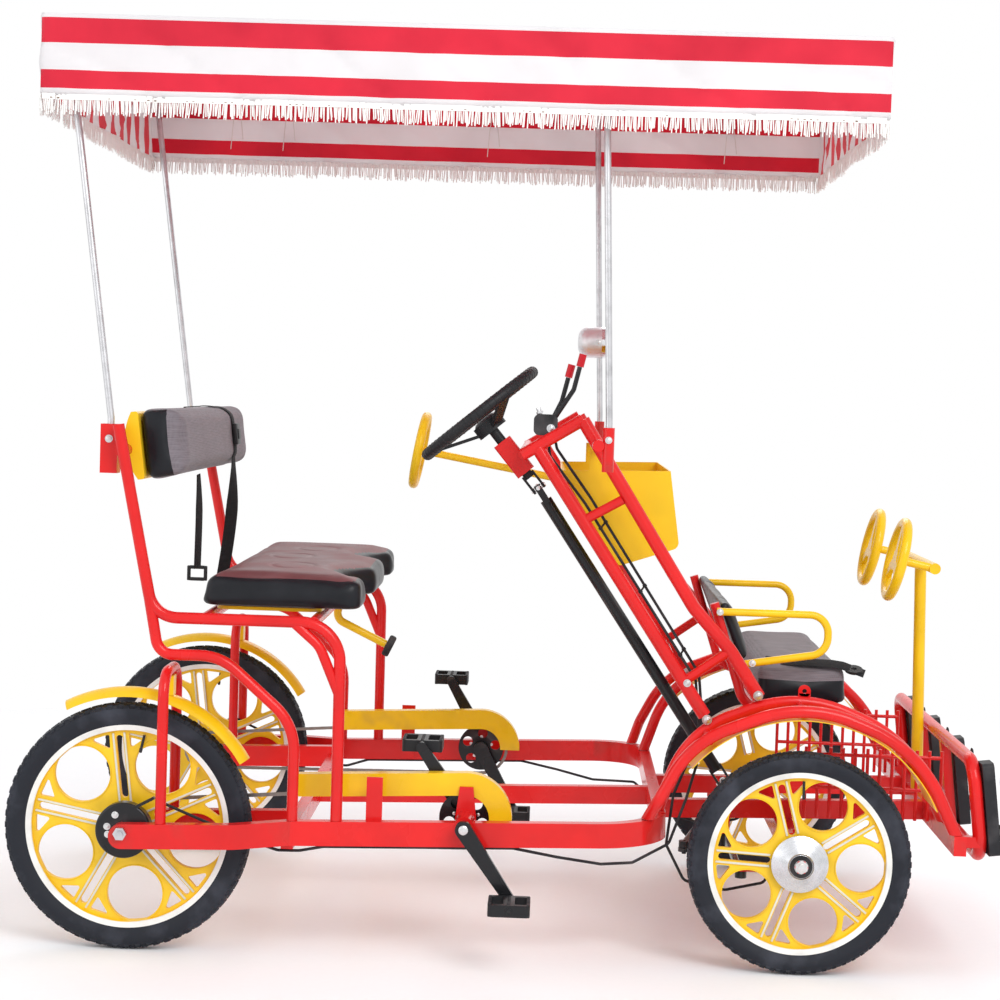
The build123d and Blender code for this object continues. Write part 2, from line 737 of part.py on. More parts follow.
# Hoops over the rear wheels, standing on the stays
hoop_ahead = 78
hoop_top_z = 578
hoop_radius = 11
with BuildPart() as rear_hoops:
    hoop_foot_z = rail_z(hoop_ahead) + rail_height / 2 + seat_gap
    round_tube(
        (
            (ahead(hoop_ahead), -outer_stay_y, hoop_foot_z),
            (ahead(hoop_ahead), -outer_stay_y, hoop_top_z),
            (ahead(hoop_ahead), -inner_stay_y, hoop_top_z),
            (ahead(hoop_ahead), -inner_stay_y, hoop_foot_z),
        ),
        hoop_radius,
        50,
    )
    mirror(about=Plane.XZ)
rear_hoops.part.label = "rear_hoops"
export_step(rear_hoops.part, "parts/rear_hoops.step")

# Rear mudguards: arched sheets over the wheels, hung from the hoops
guard_radius = 286
guard_width = 62
guard_thickness = 2
guard_crown = 16
with BuildPart() as rear_mudguards:
    wheel_middle = (ahead(0), -half_track, rear_tyre_radius)
    tip_angle = 31
    section_axis = (cos(radians(tip_angle)), 0, sin(radians(tip_angle)))
    sheet_plane = Plane(origin=wheel_middle, x_dir=section_axis, z_dir=Vector(0, 1, 0).cross(Vector(section_axis)))
    with BuildSketch(sheet_plane) as sheet_section:
        with BuildLine():
            half = guard_width / 2
            ThreePointArc((guard_radius - guard_crown, -half), (guard_radius, 0), (guard_radius - guard_crown, half))
            Line((guard_radius - guard_crown, half), (guard_radius - guard_crown - guard_thickness, half))
            ThreePointArc(
                (guard_radius - guard_crown - guard_thickness, half),
                (guard_radius - guard_thickness, 0),
                (guard_radius - guard_crown - guard_thickness, -half),
            )
            Line((guard_radius - guard_crown - guard_thickness, -half), (guard_radius - guard_crown, -half))
        make_face()
    revolve(sheet_section.sketch, axis=Axis(wheel_middle, (0, -1, 0)), revolution_arc=87)
    hanger_z = rear_tyre_radius + sqrt(guard_radius**2 - hoop_ahead**2) - 3
    hanger_height = hoop_top_z - hoop_radius - seat_gap - hanger_z
    with BuildSketch(Plane.XY.offset(hanger_z)) as hanger:
        with Locations((ahead(hoop_ahead), -half_track)):
            Rectangle(20, 30)
    extrude(hanger.sketch, amount=hanger_height)
    mirror(about=Plane.XZ)
rear_mudguards.part.label = "rear_mudguards"
export_step(rear_mudguards.part, "parts/rear_mudguards.step")

# Bench: a pan on the cross tubes and a cushion scalloped in front of each rider
scallop_y = bench_half_width - 238
scallop_depth = 66
scallop_radius = 150
with BuildPart() as bench_pan:
    pan_bottom = seat_rail_z + frame_tube_radius
    with BuildSketch(Plane.XY.offset(pan_bottom)) as pan:
        with Locations((ahead(bench_rear_ahead + bench_depth / 2 - 30), 0)):
            RectangleRounded(bench_depth - 120, 2 * bench_half_width - 80, 30)
    extrude(pan.sketch, amount=bench_pan_thickness)
bench_pan.part.label = "bench_pan"
export_step(bench_pan.part, "parts/bench_pan.step")

with BuildPart() as bench_cushion:
    with BuildSketch(Plane.XY.offset(bench_bottom_z)) as bench:
        with Locations((ahead(bench_rear_ahead + bench_depth / 2), 0)):
            Rectangle(bench_depth, 2 * bench_half_width)
        scallop_x = ahead(bench_rear_ahead + bench_depth + scallop_radius - scallop_depth)
        with Locations((scallop_x, -scallop_y), (scallop_x, scallop_y)):
            Circle(scallop_radius, mode=Mode.SUBTRACT)
        fillet(bench.vertices(), 34)
    extrude(bench.sketch, amount=bench_thickness)
    fillet(bench_cushion.edges().group_by(Axis.Z)[-1], 20)
bench_cushion.part.label = "bench_cushion"
export_step(bench_cushion.part, "parts/bench_cushion.step")

# Backrest: a padded roll in front of a moulded shell on the back cross tube
shell_thickness = 16
cap_width = 22
cap_bulge = 18
backrest_low_z = 955
back_lean = sin(radians(backrest_tilt))
back_rise = cos(radians(backrest_tilt))
back_foot = Vector(ahead(back_tube_ahead + frame_tube_radius + 12), 0, backrest_low_z)
lean_plane = Plane(
    origin=back_foot, x_dir=(back_rise, 0, back_lean), z_dir=(0, -1, 0)
)
with BuildPart() as backrest_shell:
    with BuildSketch(lean_plane.offset(-backrest_half_width - 4)) as shell:
        with Locations((shell_thickness / 2, backrest_height / 2)):
            RectangleRounded(shell_thickness, backrest_height - 12, 6)
    extrude(shell.sketch, amount=2 * (backrest_half_width + 4))
    for cap_y in (-backrest_half_width - 4, backrest_half_width + 4 - cap_width):
        with BuildSketch(lean_plane.offset(cap_y)) as cap:
            with BuildLine():
                ThreePointArc((2, 6), (-cap_bulge, backrest_height / 2), (2, backrest_height - 6))
                Line((2, backrest_height - 6), (2, 6))
            make_face()
        extrude(cap.sketch, amount=cap_width)
    tube_bore = (ahead(back_tube_ahead), 0, back_tube_z + 0.4)
    pin(tube_bore, brace_radius + seat_gap, 2 * side_frame_y, mode=Mode.SUBTRACT)
backrest_shell.part.label = "backrest_shell"
export_step(backrest_shell.part, "parts/backrest_shell.step")

pad_rear = shell_thickness + seat_gap
with BuildPart() as backrest_pad:
    with BuildSketch(lean_plane.offset(-backrest_half_width)) as roll:
        with Locations((pad_rear + backrest_thickness / 2, backrest_height / 2)):
            RectangleRounded(backrest_thickness, backrest_height, 24)
    extrude(roll.sketch, amount=2 * backrest_half_width)
backrest_pad.part.label = "backrest_pad"
export_step(backrest_pad.part, "parts/backrest_pad.step")

# Lap belt: webbing over the backrest that hangs in front of it down to the bench
belt_width = 42
belt_thickness = 3
bench_top_z = bench_bottom_z + bench_thickness
belt_offset = belt_thickness / 2 + seat_gap
belt_front = pad_rear + backrest_thickness + belt_offset
belt_top = backrest_height + belt_offset
belt_drop = backrest_low_z + 20 - bench_top_z - belt_thickness
with BuildPart() as lap_belt:
    with BuildSketch(lean_plane.offset(-200 - belt_width)) as strap:
        with BuildLine() as strap_line:
            FilletPolyline(
                (-belt_offset, 105),
                (-belt_offset, belt_top),
                (belt_front, belt_top),
                (belt_front, 20),
                (belt_front - back_lean * belt_drop, 20 - back_rise * belt_drop),
                radius=[8, 24, 60],
            )
        trace(strap_line.line, belt_thickness)
    extrude(strap.sketch, amount=belt_width)
    strap_from = Vector(ahead(4), 30, backrest_low_z + 4)
    strap_to = Vector(ahead(bench_rear_ahead) - 2.4, 30, bench_top_z - 30)
    flat_bar(strap_from, strap_to, belt_width, belt_thickness)
    buckle_from = strap_from + (strap_to - strap_from) * 0.45
    buckle_to = strap_from + (strap_to - strap_from) * 0.6
    flat_bar(buckle_from, buckle_to, belt_width + 8, 12)
lap_belt.part.label = "lap_belt"
export_step(lap_belt.part, "parts/lap_belt.step")

# Parking lever: a bent tube under the bench with a rubber knob
lever_tube_radius = 9
lever_run = [(372, seat_rail_z - frame_tube_radius - seat_gap), (366, 640), (480, 586)]
with BuildPart() as seat_lever:
    side_tube(lever_run, 0, lever_tube_radius, 24)
seat_lever.part.label = "seat_lever"
export_step(seat_lever.part, "parts/seat_lever.step")

knob_length = 16
lever_end = Vector(ahead(lever_run[-1][0]), 0, lever_run[-1][1])
lever_bend = Vector(ahead(lever_run[-2][0]), 0, lever_run[-2][1])
lever_direction = (lever_end - lever_bend).normalized()
with BuildPart() as lever_knob:
    knob_face = lever_end + lever_direction * seat_gap
    with BuildSketch(Plane(origin=knob_face, x_dir=(0, 1, 0), z_dir=lever_direction)) as oval:
        Ellipse(18, 25)
    extrude(oval.sketch, amount=knob_length)
    fillet(lever_knob.edges(), 5)
lever_knob.part.label = "lever_knob"
export_step(lever_knob.part, "parts/lever_knob.step")

# Front arches: two bent tubes over each front wheel, with a mudguard under them
arch_radius = 310
arch_flat_radius = 270
arch_rear_radius = 210
arch_inner_y = half_track - 115
arch_outer_y = half_track + 30
arch_foot_reach = 313
arch_foot_z = low_rail_z(nose_ahead) + low_rail_height / 2 + seat_gap
arch_rear_z = rail_z(rail_cross_ahead) + rail_height / 2 + 2 * seat_gap
foot_sink = 8
arch_turn = 130 / 3
arch_corner = arch_radius / cos(radians(arch_turn / 2))
corner_angles = (90 + arch_turn, 90, 90 - arch_turn)


def arch_corners(y):
    """Corners of the polygon that the arch's bends round off."""
    return [
        (
            ahead(wheelbase) + arch_corner * cos(radians(angle)),
            y,
            front_tyre_radius + arch_corner * sin(radians(angle)),
        )
        for angle in corner_angles
    ]


with BuildPart() as front_arches:
    inner_front = (ahead(wheelbase + arch_foot_reach), -arch_inner_y, arch_foot_z - foot_sink)
    inner_rear = (ahead(wheelbase - arch_foot_reach + 26), -arch_inner_y, arch_rear_z - foot_sink)
    round_tube(
        (inner_rear, *arch_corners(-arch_inner_y), inner_front),
        arch_tube_radius,
        [arch_rear_radius, arch_flat_radius, arch_flat_radius],
    )
    outer_front = (ahead(wheelbase + arch_foot_reach), -arch_outer_y, arch_foot_z - foot_sink)
    outer_rear = (ahead(wheelbase - arch_foot_reach), -half_track + 18, arch_rear_z - foot_sink)
    outer_knee = (ahead(wheelbase - arch_foot_reach + 22), -arch_outer_y, arch_rear_z + 46)
    round_tube(
        (outer_rear, outer_knee, *arch_corners(-arch_outer_y), outer_front),
        arch_tube_radius,
        [30, arch_rear_radius, arch_flat_radius, arch_flat_radius],
    )
    for angle in (42, 90, 128):
        spreader_x = ahead(wheelbase) + arch_radius * cos(radians(angle))
        spreader_z = front_tyre_radius + arch_radius * sin(radians(angle))
        spreader_y = (arch_inner_y + arch_outer_y) / 2
        pin((spreader_x, -spreader_y, spreader_z), 6, arch_outer_y - arch_inner_y)
    foot_line = Vector(
        ahead(nose_ahead) - ahead(rail_cross_ahead), 0, arch_foot_z - arch_rear_z
    )
    foot_plane = Plane(
        origin=(ahead(rail_cross_ahead), 0, arch_rear_z), x_dir=foot_line, z_dir=foot_line.cross(Vector(0, 1, 0))
    )
    split(bisect_by=foot_plane, keep=Keep.TOP)
    mirror(about=Plane.XZ)
front_arches.part.label = "front_arches"
export_step(front_arches.part, "parts/front_arches.step")

front_guard_radius = 294.5
front_guard_thickness = 2
with BuildPart() as front_mudguards:
    wheel_middle = Vector(ahead(wheelbase), 0, front_tyre_radius)
    tip = radians(24)
    guard_x = Vector(cos(tip), 0, sin(tip))
    guard_plane = Plane(origin=wheel_middle, x_dir=guard_x, z_dir=Vector(0, 1, 0).cross(guard_x))
    with BuildSketch(guard_plane) as guard_section:
        with Locations((front_guard_radius + front_guard_thickness / 2, -(arch_inner_y + arch_outer_y) / 2)):
            Rectangle(front_guard_thickness, arch_outer_y - arch_inner_y + 12)
    revolve(guard_section.sketch, axis=Axis(wheel_middle, (0, -1, 0)), revolution_arc=116)
    mirror(about=Plane.XZ)
front_mudguards.part.label = "front_mudguards"
export_step(front_mudguards.part, "parts/front_mudguards.step")

# Column ladders: two leaning ladders joined by cross tubes, with the steering head
ladder_y = half_track - 115
head_size = 42
head_length = 84
head_middle = upper_joint + wheel_axis * 84
rung_radius = 10
front_pole_ahead = wheelbase - 417
front_socket_top = 1100
front_socket_height = 90
with BuildPart() as column_ladders:
    lower_foot = (wheelbase - 195, 506)
    upper_foot = (wheelbase - 83, 549)
    side_tube((lower_foot, (wheelbase - 561, 1052)), -ladder_y, ladder_tube_radius)
    upper_run = (upper_foot, (wheelbase - 147, 645), (wheelbase - 225, 730), (wheelbase - 469, 1113))
    side_tube(upper_run, -ladder_y, ladder_tube_radius, [60, 60])
    side_tube(((wheelbase - 593, 1036), (wheelbase - 469, 1113)), -ladder_y, 13)
    side_tube(((wheelbase - 468, 900), (wheelbase - 381, 950)), -ladder_y, rung_radius)
    side_tube(((wheelbase - 245, 572), (wheelbase - 151, 640)), -ladder_y, rung_radius)
    mirror(about=Plane.XZ)
    for tube_ahead, tube_z, radius, half_length in (
        (wheelbase - 589, 1039, 12, ladder_y),
        (wheelbase - 437, 1063, 12, pole_half_width + 10),
        (wheelbase - 505, 962, 10, ladder_y),
        (wheelbase - 245, 572, 10, ladder_y),
    ):
        pin((ahead(tube_ahead), 0, tube_z), radius, 2 * half_length)
    for y in (-pole_half_width, pole_half_width):
        socket_middle = (ahead(front_pole_ahead), y, front_socket_top - front_socket_height / 2)
        pin(socket_middle, 12, front_socket_height, (0, 0, 1))
        pin(socket_middle, pole_radius + running_gap, front_socket_height + 2, (0, 0, 1), mode=Mode.SUBTRACT)
    head_foot = head_middle - wheel_axis * (head_length / 2)
    with BuildSketch(Plane(origin=head_foot, x_dir=(0, 1, 0), z_dir=wheel_axis)) as head:
        RectangleRounded(head_size, head_size, 5)
        Circle(head_shaft_radius + running_gap, mode=Mode.SUBTRACT)
    extrude(head.sketch, amount=head_length)
column_ladders.part.label = "column_ladders"
export_step(column_ladders.part, "parts/column_ladders.step")

# Storage bin hung between the ladders, open at the top
bin_half_width = half_track - 200
bin_wall = 3
bin_strap_top = 1063 - 12 - seat_gap
bin_profile = ((wheelbase - 511, 1004), (wheelbase - 279, 1010), (wheelbase - 255, 848), (wheelbase - 385, 804))
with BuildPart() as storage_bin:
    with BuildSketch(Plane.XZ.offset(-bin_half_width)) as bin_side:
        with BuildLine():
            Polyline(*[(ahead(along), height) for along, height in bin_profile], close=True)
        make_face()
        fillet(bin_side.vertices().sort_by(Axis.Y)[:2], 16)
    extrude(bin_side.sketch, amount=2 * bin_half_width)
    offset(amount=-bin_wall, openings=storage_bin.faces().sort_by(Axis.Z)[-1])
    strap_rear = wheelbase - 451
    strap_front = wheelbase - 423
    bin_strap = ((strap_rear, 990), (strap_front, 990), (strap_front, bin_strap_top), (strap_rear, bin_strap_top))
    for y_low in (-bin_half_width, bin_half_width - bin_wall):
        upright_plate(bin_strap, y_low, bin_wall)
storage_bin.part.label = "storage_bin"
export_step(storage_bin.part, "parts/storage_bin.step")


def toy_ring(centre, axis, ring_radius, tube_radius):
    """Add a small toy steering wheel: a ring with three spokes and a hub."""
    face = Plane(origin=centre, x_dir=(0, 1, 0), z_dir=axis)
    with BuildLine(face) as ring_path:
        CenterArc((0, 0), ring_radius, 0, 360)
    with BuildSketch(Plane(origin=ring_path.line @ 0, z_dir=ring_path.line % 0)) as ring_section:
        Circle(tube_radius)
    sweep(ring_section.sketch, path=ring_path.line)
    with BuildSketch(face.offset(-5)) as spokes:
        Circle(24)
        for angle in (30, 150, 270):
            with Locations(Rotation(0, 0, angle)):
                with Locations((ring_radius / 2, 0)):
                    Rectangle(ring_radius, 22)
    extrude(spokes.sketch, amount=10)


# Dummy wheel for the second rider, on an arm from the ladders' cross tube
ring_radius = 81
ring_tube_radius = 11
dummy_centre = Vector(ahead(wheelbase - 844), steering_y, 1021)
dummy_mount = Vector(ahead(wheelbase - 505 - rung_radius - seat_gap), steering_y, 965)
with BuildPart() as dummy_wheel:
    arm_run = dummy_mount - dummy_centre
    toy_ring(dummy_centre, arm_run.normalized() * -1, ring_radius, ring_tube_radius)
    pin((dummy_centre + dummy_mount) * 0.5, 9, arm_run.length, arm_run)
dummy_wheel.part.label = "dummy_wheel"
export_step(dummy_wheel.part, "parts/dummy_wheel.step")

# Toy wheels for the children, on a post from the nose bar
toy_wheel_y = 190
post_radius = 13
post_top_z = 815
post_foot_z = low_rail_z(nose_ahead) + low_rail_height / 2 + seat_gap
with BuildPart() as toy_wheel_post:
    side_tube(((nose_ahead, post_foot_z), (nose_ahead - 12, post_top_z)), 0, post_radius)
    pin((ahead(nose_ahead - 14), 0, post_top_z), 12, 2 * toy_wheel_y + 24)
    for y in (-toy_wheel_y, toy_wheel_y):
        ring_centre = Vector(ahead(nose_ahead - 96), y, 832)
        arm_from = Vector(ahead(nose_ahead - 14), y, post_top_z)
        arm_run = ring_centre - arm_from
        toy_ring(ring_centre, arm_run.normalized(), ring_radius, ring_tube_radius)
        pin((ring_centre + arm_from) * 0.5, 9, arm_run.length, arm_run)
toy_wheel_post.part.label = "toy_wheel_post"
export_step(toy_wheel_post.part, "parts/toy_wheel_post.step")

# Child bench: a red tube frame, a thin back, a cushion and armrest loops
child_frame_y = half_track - 155
child_tube_radius = 10
child_seat_z = 528
child_seat_rear = wheelbase - 88
child_seat_depth = 200
child_post_top = (child_seat_rear - 92, 738)
child_cushion_thickness = 84
seat_bar_z = child_seat_z - child_tube_radius
with BuildPart() as child_frame:
    side_tube(
        (child_post_top, (child_seat_rear - 20, seat_bar_z), (child_seat_rear + 200, seat_bar_z), (child_seat_rear + 249, 470)),
        -child_frame_y,
        child_tube_radius,
        [50, 20],
    )
    mirror(about=Plane.XZ)
    for along in (child_seat_rear + 8, child_seat_rear + 180):
        pin((ahead(along), 0, seat_bar_z + 0.4), child_tube_radius - 0.6, 2 * (arch_inner_y - arch_tube_radius - seat_gap))
child_frame.part.label = "child_frame"
export_step(child_frame.part, "parts/child_frame.step")

with BuildPart() as child_cushion:
    with BuildSketch(Plane.XY.offset(child_seat_z + seat_gap)) as child_seat:
        with Locations((ahead(child_seat_rear + child_seat_depth / 2), 0)):
            RectangleRounded(child_seat_depth, 2 * child_seat_half_width, 22)
    extrude(child_seat.sketch, amount=child_cushion_thickness)
    fillet(child_cushion.edges().group_by(Axis.Z)[-1], 14)
child_cushion.part.label = "child_cushion"
export_step(child_cushion.part, "parts/child_cushion.step")

child_back_thickness = 26
child_back_height = 136
with BuildPart() as child_backrest:
    post_run = Vector(child_post_top[0] - (child_seat_rear - 20), 0, child_post_top[1] - seat_bar_z).normalized()
    back_offset = child_tube_radius + child_back_thickness / 2 + seat_gap
    post_front = Vector(post_run.Z, 0, -post_run.X) * back_offset
    back_low = Vector(ahead(child_post_top[0]), 0, child_post_top[1]) + post_front - post_run * child_back_height
    with BuildSketch(Plane(origin=back_low, x_dir=(0, 1, 0), z_dir=post_run)) as child_back:
        RectangleRounded(2 * child_frame_y + 8, child_back_thickness, 8)
    extrude(child_back.sketch, amount=child_back_height)
child_backrest.part.label = "child_backrest"
export_step(child_backrest.part, "parts/child_backrest.step")

armrest_radius = 8
with BuildPart() as child_armrests:
    armrest_path = (
        (child_seat_rear - 87, 722),
        (child_seat_rear + 146, 722),
        (child_seat_rear + 146, 642),
        (child_seat_rear - 50, 610),
    )
    side_tube(armrest_path, -child_frame_y - child_tube_radius - seat_gap - armrest_radius, armrest_radius, 39)
    mirror(about=Plane.XZ)
child_armrests.part.label = "child_armrests"
export_step(child_armrests.part, "parts/child_armrests.step")

# Wire guard beside the children's feet
wire_radius = 4
guard_y = half_track - 200
guard_from = wheelbase + 30
guard_low_z = 285
guard_high_z = 435
guard_foot_z = low_rail_z(nose_ahead) + low_rail_height / 2 + seat_gap
with BuildPart() as foot_guard:
    for height in (350, 420):
        rod_middle = (ahead((guard_from + nose_ahead) / 2), -guard_y, height)
        pin(rod_middle, wire_radius, nose_ahead - guard_from, (1, 0, 0))
    wire_count = 12
    for index in range(wire_count):
        low_z = guard_foot_z if index == wire_count - 1 else guard_low_z
        along = guard_from + (nose_ahead - guard_from) * index / (wire_count - 1)
        wire_middle = (ahead(along), -guard_y, (low_z + guard_high_z) / 2)
        pin(wire_middle, wire_radius - 0.3, guard_high_z - low_z, (0, 0, 1))
    mirror(about=Plane.XZ)
foot_guard.part.label = "foot_guard"
export_step(foot_guard.part, "parts/foot_guard.step")

# Bumper: a tube hoop leaning forward, two uprights and rubber strips on its face
bumper_tube_radius = 14
bumper_upright_y = front_rail_y
rubber_depth = 24
bumper_low_ahead = front_reach - rubber_depth - bumper_tube_radius
bumper_low = Vector(ahead(bumper_low_ahead), 0, bumper_bottom_z)
bumper_top = Vector(ahead(bumper_low_ahead - 24), 0, bumper_top_z)
with BuildPart() as bumper_hoop:
    for_y = bumper_half_width
    top = bumper_top
    low = bumper_low
    with BuildLine() as hoop_path:
        FilletPolyline(
            (top.X, 0, top.Z),
            (top.X, -for_y, top.Z),
            (low.X, -for_y, low.Z),
            (low.X, 0, low.Z),
            radius=48,
        )
    with BuildSketch(Plane(origin=hoop_path.line @ 0, z_dir=hoop_path.line % 0)) as hoop_section:
        Circle(bumper_tube_radius)
    sweep(hoop_section.sketch, path=hoop_path.line)
    flat_bar((top.X, -bumper_upright_y, top.Z), (low.X, -bumper_upright_y, low.Z), 25, 20)
    bracket_z = low_rail_z(nose_ahead)
    bracket_face = ahead(nose_ahead + rail_width / 2) + seat_gap
    for bracket_y in (bumper_upright_y, bumper_half_width):
        flat_bar((bracket_face, -bracket_y, bracket_z), (low.X - 4, -bracket_y, bracket_z), 20, 22)
    mirror(about=Plane.XZ)
bumper_hoop.part.label = "bumper_hoop"
export_step(bumper_hoop.part, "parts/bumper_hoop.step")

rubber_width = 58
with BuildPart() as bumper_rubbers:
    lean = (top - low).normalized()
    out = Vector(lean.Z, 0, -lean.X)
    base = low + out * (bumper_tube_radius + seat_gap)
    with BuildSketch(Plane(origin=base, x_dir=(0, 1, 0), z_dir=out)) as rubber:
        with Locations(*[(y, (top - low).length / 2) for y in (-bumper_half_width + 12, -bumper_upright_y)]):
            RectangleRounded(rubber_width, (top - low).length - 6, 10)
    extrude(rubber.sketch, amount=rubber_depth)
    mirror(about=Plane.XZ)
bumper_rubbers.part.label = "bumper_rubbers"
export_step(bumper_rubbers.part, "parts/bumper_rubbers.step")

# Canopy frame: four bent poles under a rectangle of tube with two cross tubes
roof_tube_radius = 6
roof_tube_z = canopy_top_z - cloth_thickness - roof_tube_radius - seat_gap
roof_inset = cloth_thickness + roof_tube_radius + seat_gap
roof_rear = canopy_rear_ahead + roof_inset
roof_front = canopy_rear_ahead + canopy_length - roof_inset
roof_half_width = canopy_half_width - roof_inset
rear_pole_top = -165
front_pole_top = wheelbase - 448
pole_sink = 80
with BuildPart() as canopy_frame:
    for foot_ahead, foot_top, top_ahead in (
        (pole_socket_ahead, 1075, rear_pole_top),
        (front_pole_ahead, front_socket_top, front_pole_top),
    ):
        run = (
            (foot_ahead, foot_top - pole_sink),
            (foot_ahead, foot_top + 12),
            (top_ahead, roof_tube_z),
        )
        side_tube(run, -pole_half_width, pole_radius, 40)
        pin((ahead(top_ahead), -roof_half_width / 2, roof_tube_z), roof_tube_radius - 0.4, roof_half_width)
    with BuildLine() as roof_path:
        FilletPolyline(
            (ahead(roof_front), 0, roof_tube_z),
            (ahead(roof_front), -roof_half_width, roof_tube_z),
            (ahead(roof_rear), -roof_half_width, roof_tube_z),
            (ahead(roof_rear), 0, roof_tube_z),
            radius=22,
        )
    with BuildSketch(Plane(origin=roof_path.line @ 0, z_dir=roof_path.line % 0)) as roof_section:
        Circle(roof_tube_radius)
    sweep(roof_section.sketch, path=roof_path.line)
    mirror(about=Plane.XZ)
canopy_frame.part.label = "canopy_frame"
export_step(canopy_frame.part, "parts/canopy_frame.step")

# Canopy cloth, open underneath, and the white fringe under its valance
canopy_middle = (ahead(canopy_rear_ahead + canopy_length / 2), 0)
canopy_corner = 24
with BuildPart() as canopy:
    with BuildSketch(Plane.XY.offset(canopy_top_z - valance_height)) as roof:
        with Locations(canopy_middle):
            RectangleRounded(canopy_length, 2 * canopy_half_width, canopy_corner)
    extrude(roof.sketch, amount=valance_height)
    fillet(canopy.edges().group_by(Axis.Z)[-1], 8)
    offset(amount=-cloth_thickness, openings=canopy.faces().sort_by(Axis.Z)[0])
canopy.part.label = "canopy"
export_step(canopy.part, "parts/canopy.step")

with BuildPart() as canopy_fringe:
    fringe_top = canopy_top_z - valance_height - seat_gap
    with BuildSketch(Plane.XY.offset(fringe_top - fringe_height + seat_gap)) as fringe:
        with Locations(canopy_middle):
            RectangleRounded(canopy_length - 1, 2 * canopy_half_width - 1, canopy_corner)
            RectangleRounded(canopy_length - 5, 2 * canopy_half_width - 5, canopy_corner - 2, mode=Mode.SUBTRACT)
    extrude(fringe.sketch, amount=fringe_height - seat_gap)
canopy_fringe.part.label = "canopy_fringe"
export_step(canopy_fringe.part, "parts/canopy_fringe.step")

# Headlight clamped to the left front pole
headlight_radius = 38
headlight_z = 1293
pole_lean = Vector(ahead(front_pole_top) - ahead(front_pole_ahead), 0, roof_tube_z - front_socket_top - 12)
pole_share = (headlight_z - front_socket_top - 12) / pole_lean.Z
clamp_point = Vector(ahead(front_pole_ahead), pole_half_width, front_socket_top + 12) + pole_lean * pole_share
with BuildPart() as headlight:
    body_point = clamp_point + Vector(-24, headlight_radius * -1 - 13, 0)
    pin(body_point, headlight_radius, 58, (1, 0, 0))
    fillet(headlight.faces().sort_by(Axis.X)[0].edges(), 26)
    with Locations(clamp_point + Vector(0, -2, 0)):
        Box(24, 30, 20)
    pin(clamp_point, pole_radius + running_gap, 60, pole_lean, mode=Mode.SUBTRACT)
headlight.part.label = "headlight"
export_step(headlight.part, "parts/headlight.step")

# Brake levers: two bent rods with red grips in a block beside the near ladder's top bar
lever_rod_radius = 5
grip_radius = 8
brake_block_y = 155 - half_track
with BuildPart() as brake_levers:
    with BuildSketch(Plane.XZ.offset(-brake_block_y - 26.5)) as block:
        with Locations((ahead(wheelbase - 546), 1100)):
            RectangleRounded(50, 44, 12)
    extrude(block.sketch, amount=53)
    inner_lever = ((wheelbase - 533, 1110), (wheelbase - 514, 1150), (wheelbase - 502, 1200))
    outer_lever = ((wheelbase - 527, 1116), (wheelbase - 490, 1175), (wheelbase - 479, 1223))
    side_tube(inner_lever, brake_block_y + 15, lever_rod_radius, 20)
    side_tube(outer_lever, brake_block_y - 15, lever_rod_radius, 20)
brake_levers.part.label = "brake_levers"
export_step(brake_levers.part, "parts/brake_levers.step")

with BuildPart() as lever_grips:
    for end, reach, y in (((wheelbase - 502, 1200), (6.5, 27), 15), ((wheelbase - 479, 1223), (6, 26), -15)):
        grip_run = Vector(reach[0], 0, reach[1])
        grip_start = Vector(ahead(end[0]), brake_block_y + y, end[1]) + grip_run.normalized() * seat_gap
        pin(grip_start + grip_run * 0.5, grip_radius, grip_run.length, grip_run)
lever_grips.part.label = "lever_grips"
export_step(lever_grips.part, "parts/lever_grips.step")

# Chain guards: channels open underneath, over the chain and round the front of the chainring
guard_web = 1.5
guard_band_height = 45
guard_outer_y = chain_y + 14
guard_inner_y = chain_y - 14
guard_arc = 95
guard_tail_ahead = 340
guard_tail_z = 365


def guard_band(drop, reach, y_from, y_to, mode=Mode.ADD):
    """Add or cut the band between two planes, its top lowered by drop and its open sides by reach."""
    low = guard_band_height + reach
    top_arc = guard_arc - drop
    low_arc = guard_arc - low
    tail = ahead(guard_tail_ahead - reach)
    tip_z = crank_z - reach
    crank_x = ahead(crank_ahead)
    slant = sin(radians(45))
    with BuildSketch(Plane.XZ.offset(y_from)) as band:
        with BuildLine():
            Line((tail, guard_tail_z - drop), (crank_x, crank_z + top_arc))
            ThreePointArc(
                (crank_x, crank_z + top_arc),
                (crank_x + top_arc * slant, crank_z + top_arc * slant),
                (crank_x + top_arc, crank_z),
            )
            Polyline(
                (crank_x + top_arc, crank_z),
                (crank_x + top_arc, tip_z),
                (crank_x + low_arc, tip_z),
                (crank_x + low_arc, crank_z),
            )
            ThreePointArc(
                (crank_x + low_arc, crank_z),
                (crank_x + low_arc * slant, crank_z + low_arc * slant),
                (crank_x, crank_z + low_arc),
            )
            Polyline(
                (crank_x, crank_z + low_arc),
                (tail, guard_tail_z - low),
                (tail, guard_tail_z - drop),
            )
        make_face()
    extrude(band.sketch, amount=y_to - y_from, mode=mode)


with BuildPart() as chain_guards:
    guard_band(0, 2, guard_inner_y, guard_outer_y)
    guard_band(guard_web, 8, guard_inner_y + guard_web, guard_outer_y - guard_web, Mode.SUBTRACT)
    spacer_reach = rail_half_track - rail_width / 2 - 4 - seat_gap
    pin((ahead(504), -(guard_outer_y + spacer_reach) / 2, 352), 8, spacer_reach - guard_outer_y)
    pin((ahead(crank_ahead), -guard_outer_y, 345), 7, 1.2)
    mirror(about=Plane.XZ)
chain_guards.part.label = "chain_guards"
export_step(chain_guards.part, "parts/chain_guards.step")

